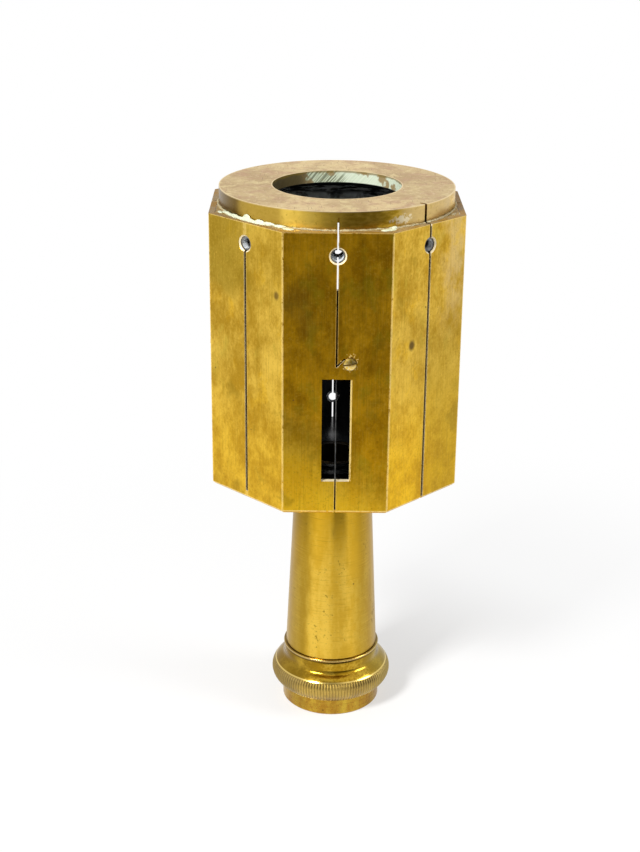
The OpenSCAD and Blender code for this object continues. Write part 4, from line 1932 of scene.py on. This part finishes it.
@dataclass
class SolderSeam(SubAssembly):
    """The run of soft solder round the ring's foot, with lumps where it was patched.

    Attributes:
        head: The head's main sizes.
        bead: Radius of the solder bead.
        bead_out: Distance of the bead's middle from the ring's rim.
        bead_up: Its height over the case's upper edge.
        grain: Size of the voxels that join bead and lumps.
        lumps: The patched places.
        waves: Size and depth of the unevenness, coarse and fine.
        sawn: The faces over which a saw cut crosses the seam, with the cut's width.
        blade: How far the saw cuts in and up.
    """

    head: HeadPlan = HeadPlan()
    bead: float = 0.40 * MM
    bead_out: float = 0.22 * MM
    bead_up: float = 0.05 * MM
    grain: float = 0.17 * MM
    lumps: tuple[Lump, ...] = (
        Lump(22.5, 39.3 * MM, (5.2 * MM, 2.4 * MM, 0.6 * MM)),
        Lump(26.0, 38.2 * MM, (6.0 * MM, 0.9 * MM, 1.3 * MM)),
        Lump(-22.5, 39.1 * MM, (4.0 * MM, 1.6 * MM, 0.5 * MM)),
        Lump(-27.0, 38.1 * MM, (7.0 * MM, 1.0 * MM, 1.4 * MM)),
        Lump(-33.0, 38.0 * MM, (5.6 * MM, 1.0 * MM, 2.0 * MM)),
        Lump(-38.5, 38.0 * MM, (4.6 * MM, 1.0 * MM, 2.8 * MM)),
        Lump(-44.0, 38.1 * MM, (6.0 * MM, 1.3 * MM, 1.9 * MM)),
        Lump(-47.0, 37.9 * MM, (3.8 * MM, 0.8 * MM, 4.0 * MM)),
        Lump(-41.5, 38.2 * MM, (9.0 * MM, 1.2 * MM, 1.5 * MM)),
        Lump(-50.0, 38.2 * MM, (8.0 * MM, 1.2 * MM, 1.7 * MM)),
        Lump(-55.5, 38.2 * MM, (6.0 * MM, 1.3 * MM, 1.9 * MM)),
        Lump(-62.0, 38.2 * MM, (8.0 * MM, 1.1 * MM, 1.3 * MM)),
        Lump(-67.5, 39.4 * MM, (3.0 * MM, 1.6 * MM, 0.5 * MM)),
        Lump(67.5, 39.2 * MM, (3.6 * MM, 1.4 * MM, 0.5 * MM)),
        Lump(157.0, 39.2 * MM, (4.4 * MM, 1.8 * MM, 0.6 * MM)),
        Lump(-120.0, 38.1 * MM, (4.0 * MM, 0.9 * MM, 1.2 * MM)),
    )
    waves: tuple[Span, ...] = ((2.6 * MM, 0.55 * MM), (0.7 * MM, 0.16 * MM))
    sawn: tuple[tuple[Face, float], ...] = (
        (Face.FRONT, 0.5 * MM),
        (Face.FRONT_RIGHT, 1.0 * MM),
        (Face.RIGHT, 0.5 * MM),
    )
    blade: float = 8 * MM

    def build(self) -> None:
        """Runs the bead, adds the lumps, melts them together and saws the cuts."""
        Bench.clear()
        bpy.ops.mesh.primitive_torus_add(
            major_radius=self.head.ring + self.bead_out,
            minor_radius=self.bead,
            major_segments=288,
            minor_segments=10,
            location=(0.0, 0.0, self.head.high + self.bead_up),
        )
        seam = bpy.context.object
        seam.name = "solder_run"
        parts = [seam, *(self._lump(lump) for lump in self.lumps)]
        Bench.clear()
        for part in parts:
            part.select_set(True)
        bpy.context.view_layer.objects.active = seam
        bpy.ops.object.join()
        Bench.settle(seam)
        Bench.modified(seam, "REMESH", mode="VOXEL", voxel_size=self.grain)
        self._roughen(seam)
        for face, width in self.sawn:
            self._saw(seam, face, width)
        Bench.only(seam)
        bpy.ops.object.shade_smooth()
        self.fit(seam, OldSolder(), "solder_seam", "solder")

    def _lump(self, lump: Lump) -> bpy.types.Object:
        """Models one lump as a flattened ball that lies along the seam.

        Args:
            lump: The lump.

        Returns:
            Its piece.
        """
        turn = math.radians(lump.azimuth)
        place = (lump.reach * math.sin(turn), -lump.reach * math.cos(turn), self.head.high)
        Bench.clear()
        bpy.ops.mesh.primitive_ico_sphere_add(subdivisions=4, radius=0.5)
        ball = bpy.context.object
        with Bench.editing(ball):
            bpy.ops.transform.resize(value=lump.size, center_override=ORIGIN)
        ball.matrix_world = Matrix.Translation(place) @ Matrix.Rotation(turn, 4, "Z")
        return ball

    def _roughen(self, seam: bpy.types.Object) -> None:
        """Makes the solder uneven, coarsely and then finely.

        Args:
            seam: The seam's piece.
        """
        for size, depth in self.waves:
            cloud = bpy.data.textures.new("solder_waves", "CLOUDS")
            cloud.noise_scale = size
            cloud.noise_depth = 2
            Bench.modified(
                seam, "DISPLACE", texture=cloud, texture_coords="LOCAL", strength=depth
            )

    def _saw(self, seam: bpy.types.Object, face: Face, width: float) -> None:
        """Cuts a saw slot of a width through the seam over one face.

        Args:
            seam: The seam's piece.
            face: The face.
            width: The slot's width.
        """
        Bench.clear()
        bpy.ops.mesh.primitive_cube_add(size=1.0)
        blade = bpy.context.object
        turn = Matrix.Rotation(face.azimuth, 4, "Z")
        place = Matrix.Translation((0.0, -self.head.ring, self.head.high))
        blade.matrix_world = turn @ place @ Matrix.Diagonal((width, self.blade, self.blade, 1.0))
        bpy.context.view_layer.update()
        Bench.modified(seam, "BOOLEAN", operation="DIFFERENCE", solver="EXACT", object=blade)
        bpy.data.objects.remove(blade)


@dataclass
class Sights(SubAssembly):
    """The peep bushes, the sight hairs and the screws that clamp them."""

    def dress(self) -> None:
        """Gives bushes, hairs and screws their finishes."""
        sides = [face.name.lower() for face in Face]
        square_on = sides[::2]
        Nodes.dress(WhiteMetal(), *(f"peep_bush_{side}" for side in sides))
        Nodes.dress(HairWire(), *(f"sight_hair_{side}" for side in square_on))
        Nodes.dress(ScrewBrass(), *(f"clamp_screw_{side}" for side in square_on))


@dataclass
class InnerFittings(SubAssembly):
    """The base plate, the threaded boss and its screws inside the head."""

    def dress(self) -> None:
        """Gives the fittings their finishes."""
        Nodes.dress(Lacquer(), "base_plate", "threaded_boss")
        Nodes.dress(TurnedBrass("boss_screw_brass", dullness=0.2, seed=91.0), "boss_screws")


@dataclass
class StaffSocket(SubAssembly):
    """The tapered socket with the spigot on top and the ferrule at its foot.

    Attributes:
        cone: The finish of the cone, which has painted shade inside its outline.
        spigot: The finish of the spigot, painted near black as shade.
        foot: The finish of the ferrule.
    """

    body: str = "socket"
    cone: TurnedBrass = TurnedBrass(
        "socket_satin_brass",
        stain_and_shade=(0.21, 0.125, 0.007),
        stain_and_shade_share=0.76,
        outline=((15.95 * MM, 21.7 * MM), (12.9 * MM, 87.1 * MM)),
    )
    # The spigot is painted near black, as shade inside the boss.
    spigot: TurnedBrass = TurnedBrass(
        "spigot_painted_shade", body=SHADE_BLACK, light=UMBER, stain_and_shade=SHADE_BLACK, dullness=0.4, seed=23.0
    )
    foot: TurnedBrass = TurnedBrass(
        "foot_red_brass",
        body=COPPER,
        light=(0.62, 0.42, 0.05),
        stain_and_shade=(0.22, 0.10, 0.015),
        dullness=0.22,
        seed=26.0,
    )

    def dress(self) -> None:
        """Gives the turned parts their finishes."""
        Nodes.dress(self.cone, "socket_cone")
        Nodes.dress(self.spigot, "threaded_spigot")
        Nodes.dress(self.foot, "foot_ferrule")


@dataclass
class KnurledCollar(SubAssembly):
    """The collar with its bead, its bulge and a real straight knurl.

    Attributes:
        plan: The collar's sizes.
        teeth: How many teeth the knurl has.
        tooth_depth: The knurl's depth.
        groove: How deep each column of a tooth is sunk, from 0 on the crest to 1.
        crisp: Angle in degrees over which an edge stays sharp.
        knurl_edge: Height of the knurl's bevel at either end.
        knurl_rows: Rows of the mesh over the knurl.
        bulge_rows: Rows of the mesh over the bulge above it.
        cove_low: Height of the hollow under the neck, below its bend.
        cove_high: Its height above that bend.
        cove_rows: Rows of the mesh over the hollow.
        bead_step: Degrees between the corners of the bead's section.
    """

    body: str = "collar"
    plan: CollarPlan = CollarPlan()
    teeth: int = 124
    tooth_depth: float = 0.22 * MM
    groove: tuple[float, ...] = (0.0, 0.35, 1.0, 0.35)
    crisp: float = 28.0
    knurl_edge: float = 0.07 * MM
    knurl_rows: int = 8
    bulge_rows: int = 12
    cove_low: float = 0.6 * MM
    cove_high: float = 1.4 * MM
    cove_rows: int = 6
    bead_step: int = 15

    def build(self) -> None:
        """Turns the collar, then cuts the knurl's grooves into it."""
        steps = self.teeth * len(self.groove)
        collar = Bench.lathe("collar_with_knurl", self._profile(), steps)
        with Bench.editing(collar):
            for column, share in enumerate(self.groove[1:], 1):
                found = Bench.pick(collar, self._in_column(column))
                scale = 1 - share * self.tooth_depth / self.plan.widest
                bpy.ops.transform.resize(value=(scale, scale, 1.0), center_override=ORIGIN)
                log.info("knurl column %d: %d points", column, found)
        Bench.only(collar)
        bpy.ops.object.shade_smooth_by_angle(angle=math.radians(self.crisp))
        self.fit(collar, CollarBrass(), "knurled_collar", "collar_brass")

    @staticmethod
    def _rows(low: float, high: float, count: int) -> list[float]:
        """Evenly spaced heights above a low one, up to a high one."""
        return [low + (high - low) * row / count for row in range(1, count + 1)]

    def _cove(self) -> list[tuple[float, float]]:
        """The small hollow that leads from the bulge up to the neck.

        Returns:
            Radius and height of its points.
        """
        plan = self.plan
        start = plan.bulge_at(plan.bend - self.cove_low)
        corner = (plan.neck, plan.bend)
        end = (plan.neck, plan.bend + self.cove_high)
        points = []
        for share in self._rows(0.0, 1.0, self.cove_rows):
            rest = 1 - share
            weights = (rest * rest, 2 * rest * share, share * share)
            corners = zip(weights, (start, corner, end))
            (r0, z0), (r1, z1), (r2, z2) = ((w * r, w * z) for w, (r, z) in corners)
            points.append((r0 + r1 + r2, z0 + z1 + z2))
        return points

    def _bead(self) -> list[tuple[float, float]]:
        """The half round bead at the collar's upper end.

        Returns:
            Radius and height of its points.
        """
        plan = self.plan
        turns = [math.radians(a) for a in range(-90, 91, self.bead_step)]
        middle, level = plan.neck - plan.bead / 2, plan.high - plan.bead
        return [(middle + plan.bead * math.cos(a), level + plan.bead * math.sin(a)) for a in turns]

    def _profile(self) -> list[tuple[float, float]]:
        """The collar's outline, from its inner lower corner round its outside.

        Returns:
            Radius and height of each corner.
        """
        plan = self.plan
        first, last = plan.knurl_low + self.knurl_edge, plan.knurl_high - self.knurl_edge
        heights = [
            plan.low,
            plan.knurl_low,
            first,
            *self._rows(first, last, self.knurl_rows),
            plan.knurl_high,
            *self._rows(plan.knurl_high, plan.bend - self.cove_low, self.bulge_rows),
        ]
        return [
            (plan.thread, plan.low),
            *(plan.bulge_at(z) for z in heights),
            *self._cove(),
            (plan.neck, plan.high - 3 * plan.bead),
            *self._bead(),
            (plan.lip, plan.high),
            (plan.lip, plan.lip_low),
            (plan.thread, plan.lip_low),
        ]

    def _in_column(self, column: int) -> Callable[[Vector], bool]:
        """A test for the points of one column of each tooth.

        Args:
            column: The column, from 0 on the crest.

        Returns:
            The test, which takes a point's place.
        """
        plan, columns = self.plan, len(self.groove)
        slack = self.knurl_edge / 2

        def wanted(place: Vector) -> bool:
            """Whether a point lies on the knurl and in that column.

            Args:
                place: The point's place.

            Returns:
                True for such a point.
            """
            turn = math.atan2(place.x, -place.y) / (2 * math.pi) * self.teeth * columns
            on_knurl = plan.knurl_low + slack < place.z < plan.knurl_high - slack
            return on_knurl and place.xy.length > plan.neck and round(turn) % columns == column

        return wanted


@dataclass(frozen=True)
class Softbox:
    """A square lamp that points at the object.

    Attributes:
        name: Its name.
        place: Where it hangs.
        size: The length of its sides.
        power: Its power in watts.
    """

    name: str
    place: tuple[float, float, float]
    size: float
    power: float

    def hang(self, aim: Vector) -> None:
        """Hangs the lamp, turned towards a point.

        Args:
            aim: The point.
        """
        Bench.clear()
        bpy.ops.object.light_add(type="AREA", location=self.place)
        lamp = bpy.context.object
        lamp.name = self.name
        lamp.data.size = self.size
        lamp.data.energy = self.power
        way = aim - Vector(self.place)
        lamp.rotation_euler = way.to_track_quat("-Z", "Y").to_euler()
        log.info("lamp %s: %.1f W", self.name, self.power)


@dataclass(frozen=True)
class DarkPart:
    """A dark part of the room, as the object is lit by it and mirrors it.

    Attributes:
        way: The direction in which it lies, about a unit long.
        spread: Cosines of the angles from it where the dark begins and where it is full.
        share: How dark it is.
    """

    way: tuple[float, float, float]
    spread: Span
    share: float


@dataclass
class Studio:
    """The floor, the room, the lamps and the camera.

    Attributes:
        focal_px: Focal length in pixels of the photograph.
        azimuth: The camera's turn from the front, in degrees.
        elevation: Its height above the horizon, in degrees.
        roll: Its roll, in degrees.
        distance: Its distance from the point that it looks at.
        aim: The point that it looks at.
        image: Width and height of the photograph in pixels.
        sensor: Width of the camera's sensor in millimetres.
        clip: Nearest and furthest distance that the camera sees.
        sheet_low: Corner of the white sheet nearest to the camera, on the left.
        sheet_high: Its opposite corner.
        paper: The sheet's colour under the lamps.
        glow: The sheet's own share of white under the object, near it and far away.
        near: Distances between which the share goes from the first to the second.
        far: Distances between which it goes on to the third.
        lamp_aim: The point that the lamps are turned to.
        lamps: The lamps.
        dark_parts: The dark parts of the room: behind the camera and overhead.
        dim: The room's brightness as a light, beside 1 in mirrored metal.
    """

    focal_px: float = 1545.3
    azimuth: float = -0.289
    elevation: float = 21.397
    roll: float = 0.5675
    distance: float = 522.2 * MM
    aim: tuple[float, float, float] = (-4.68 * MM, 0.02 * MM, 102.44 * MM)
    image: tuple[int, int] = (640, 852)
    sensor: float = 36.0
    clip: Span = (0.01, 20.0)
    sheet_low: Span = (-0.42, -0.27)
    sheet_high: Span = (1.3, 1.5)
    paper: Color = (0.86, 0.86, 0.86)
    glow: tuple[float, float, float] = (0.5, 0.88, 1.0)
    near: Span = (0.03, 0.13)
    far: Span = (0.12, 0.262)
    lamp_aim: tuple[float, float, float] = (0.0, 0.0, 0.09)
    lamps: tuple[Softbox, ...] = (
        Softbox("key_softbox", (-0.50, -0.62, 0.74), 0.20, 12.0),
        Softbox("fill_softbox", (0.78, -0.20, 0.50), 0.36, 3.2),
    )
    dark_parts: tuple[DarkPart, ...] = (
        DarkPart((0.30, -0.90, -0.25), (0.45, 0.92), 0.88),
        DarkPart((-0.15, -0.75, 0.62), (0.80, 0.97), 0.7),
    )
    dim: float = 0.42

    def build(self) -> None:
        """Sets up the whole studio."""
        self._sheet()
        self._room()
        for lamp in self.lamps:
            lamp.hang(Vector(self.lamp_aim))
        self._camera()
        bpy.context.scene.view_settings.view_transform = "Standard"

    def _sheet(self) -> None:
        """Lays the white sheet that the object stands on."""
        (x0, y0), (x1, y1) = self.sheet_low, self.sheet_high
        Bench.clear()
        bpy.ops.mesh.primitive_plane_add(size=1.0)
        sheet = bpy.context.object
        sheet.name = "white_sheet"
        with Bench.editing(sheet):
            bpy.ops.transform.resize(value=(x1 - x0, y1 - y0, 1.0), center_override=ORIGIN)
            bpy.ops.transform.translate(value=((x0 + x1) / 2, (y0 + y1) / 2, 0.0))
        made = bpy.data.materials.new("white_sheet_paper")
        made.use_nodes = True
        self._paint_sheet(Shader(made.node_tree))
        sheet.data.materials.append(made)
        sheet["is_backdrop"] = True
        log.info("stage %s", sheet.name)

    def _paint_sheet(self, sh: Shader) -> None:
        """Builds the nodes of the sheet: paper that turns to pure white away from the object.

        Args:
            sh: The shader.
        """
        paper = sh.node("ShaderNodeBsdfDiffuse", inputs={"Color": self.paper})
        light = sh.node("ShaderNodeEmission", inputs={"Color": WHITE, "Strength": 1.0})
        x, y, _ = sh.axes()
        away = sh.length(x, y)
        under, near, far = self.glow
        glow = under + sh.smooth(away, *self.near) * (near - under)
        glow = glow + sh.smooth(away, *self.far) * (far - near)
        mixed = {0: self._seen(sh) * glow, 1: paper.outputs[0], 2: light.outputs[0]}
        both = sh.node("ShaderNodeMixShader", inputs=mixed)
        sh.node("ShaderNodeOutputMaterial", inputs={0: both.outputs[0]})

    @staticmethod
    def _seen(sh: Shader) -> Signal:
        """1 for what the camera sees, straight or in metal or through glass.

        Args:
            sh: The shader.

        Returns:
            1 or 0.
        """
        path = sh.node("ShaderNodeLightPath")
        rays = ("Is Camera Ray", "Is Glossy Ray", "Is Transmission Ray")
        return sh.capped(sum(Signal(sh, path.outputs[name]) for name in rays))

    def _room(self) -> None:
        """Lights the room: white to the camera, dimmer and with its dark parts as a light."""
        world = bpy.data.worlds.new("room")
        bpy.context.scene.world = world
        world.use_nodes = True
        sh = Shader(world.node_tree)
        axes = sh.axes(sh.node("ShaderNodeTexCoord").outputs["Generated"])
        dark = sh.most(*(self._darkness(sh, axes, part) for part in self.dark_parts))
        path = sh.node("ShaderNodeLightPath")
        camera = Signal(sh, path.outputs["Is Camera Ray"])
        mirrored = ("Is Glossy Ray", "Is Transmission Ray")
        glossy = sh.most(*(Signal(sh, path.outputs[name]) for name in mirrored))
        level = (1.0 - dark) * (self.dim + glossy * (1.0 - self.dim))
        strength = camera + (1.0 - camera) * level
        inputs = {"Color": WHITE, "Strength": strength}
        light = sh.node("ShaderNodeBackground", inputs=inputs)
        sh.node("ShaderNodeOutputWorld", inputs={0: light.outputs[0]})

    @staticmethod
    def _darkness(sh: Shader, axes: tuple[Signal, Signal, Signal], part: DarkPart) -> Signal:
        """How dark one part makes the room in a direction.

        Args:
            sh: The shader.
            axes: The direction, as x, y and z.
            part: The dark part.

        Returns:
            The darkness, from 0 to 1.
        """
        towards = sum(axis * share for axis, share in zip(axes, part.way))
        return sh.smooth(towards, *part.spread) * part.share

    def _camera(self) -> None:
        """Sets the camera as the photograph was taken."""
        turn, rise, roll = (math.radians(a) for a in (self.azimuth, self.elevation, self.roll))
        back = Vector(
            (math.cos(rise) * math.sin(turn), -math.cos(rise) * math.cos(turn), math.sin(rise))
        )
        right = Vector((math.cos(turn), math.sin(turn), 0.0))
        up = back.cross(right)
        rolled_right = right * math.cos(roll) + up * math.sin(roll)
        rolled_up = up * math.cos(roll) - right * math.sin(roll)
        data = bpy.data.cameras.new("photo_camera")
        data.sensor_width = self.sensor
        data.lens = self.focal_px * self.sensor / max(self.image)
        camera = bpy.data.objects.new("photo_camera", data)
        bpy.context.scene.collection.objects.link(camera)
        axes = Matrix((rolled_right, rolled_up, back)).transposed().to_4x4()
        camera.matrix_world = Matrix.Translation(Vector(self.aim) + back * self.distance) @ axes
        data.clip_start, data.clip_end = self.clip
        bpy.context.scene.camera = camera


def corners(box: tuple[Vector, Vector]) -> list[list[float]]:
    """Turns a box's two corners into plain lists."""
    return [list(corner) for corner in box]


def main() -> None:
    """Builds and dresses each sub-assembly, then sets up the studio."""
    logging.basicConfig(level=logging.INFO, format="%(name)s: %(message)s")
    cad_box = corners(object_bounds())
    sub_assemblies: tuple[SubAssembly, ...] = (
        OctagonalCase(),
        TopRing(),
        SolderSeam(),
        Sights(),
        InnerFittings(),
        StaffSocket(),
        KnurledCollar(),
    )
    for sub_assembly in sub_assemblies:
        log.info("sub-assembly %s", type(sub_assembly).__name__)
        sub_assembly.build()
        sub_assembly.dress()
    Studio().build()
    {"cad": cad_box, "visual": corners(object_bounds())}


if __name__ == "__main__":
    main()
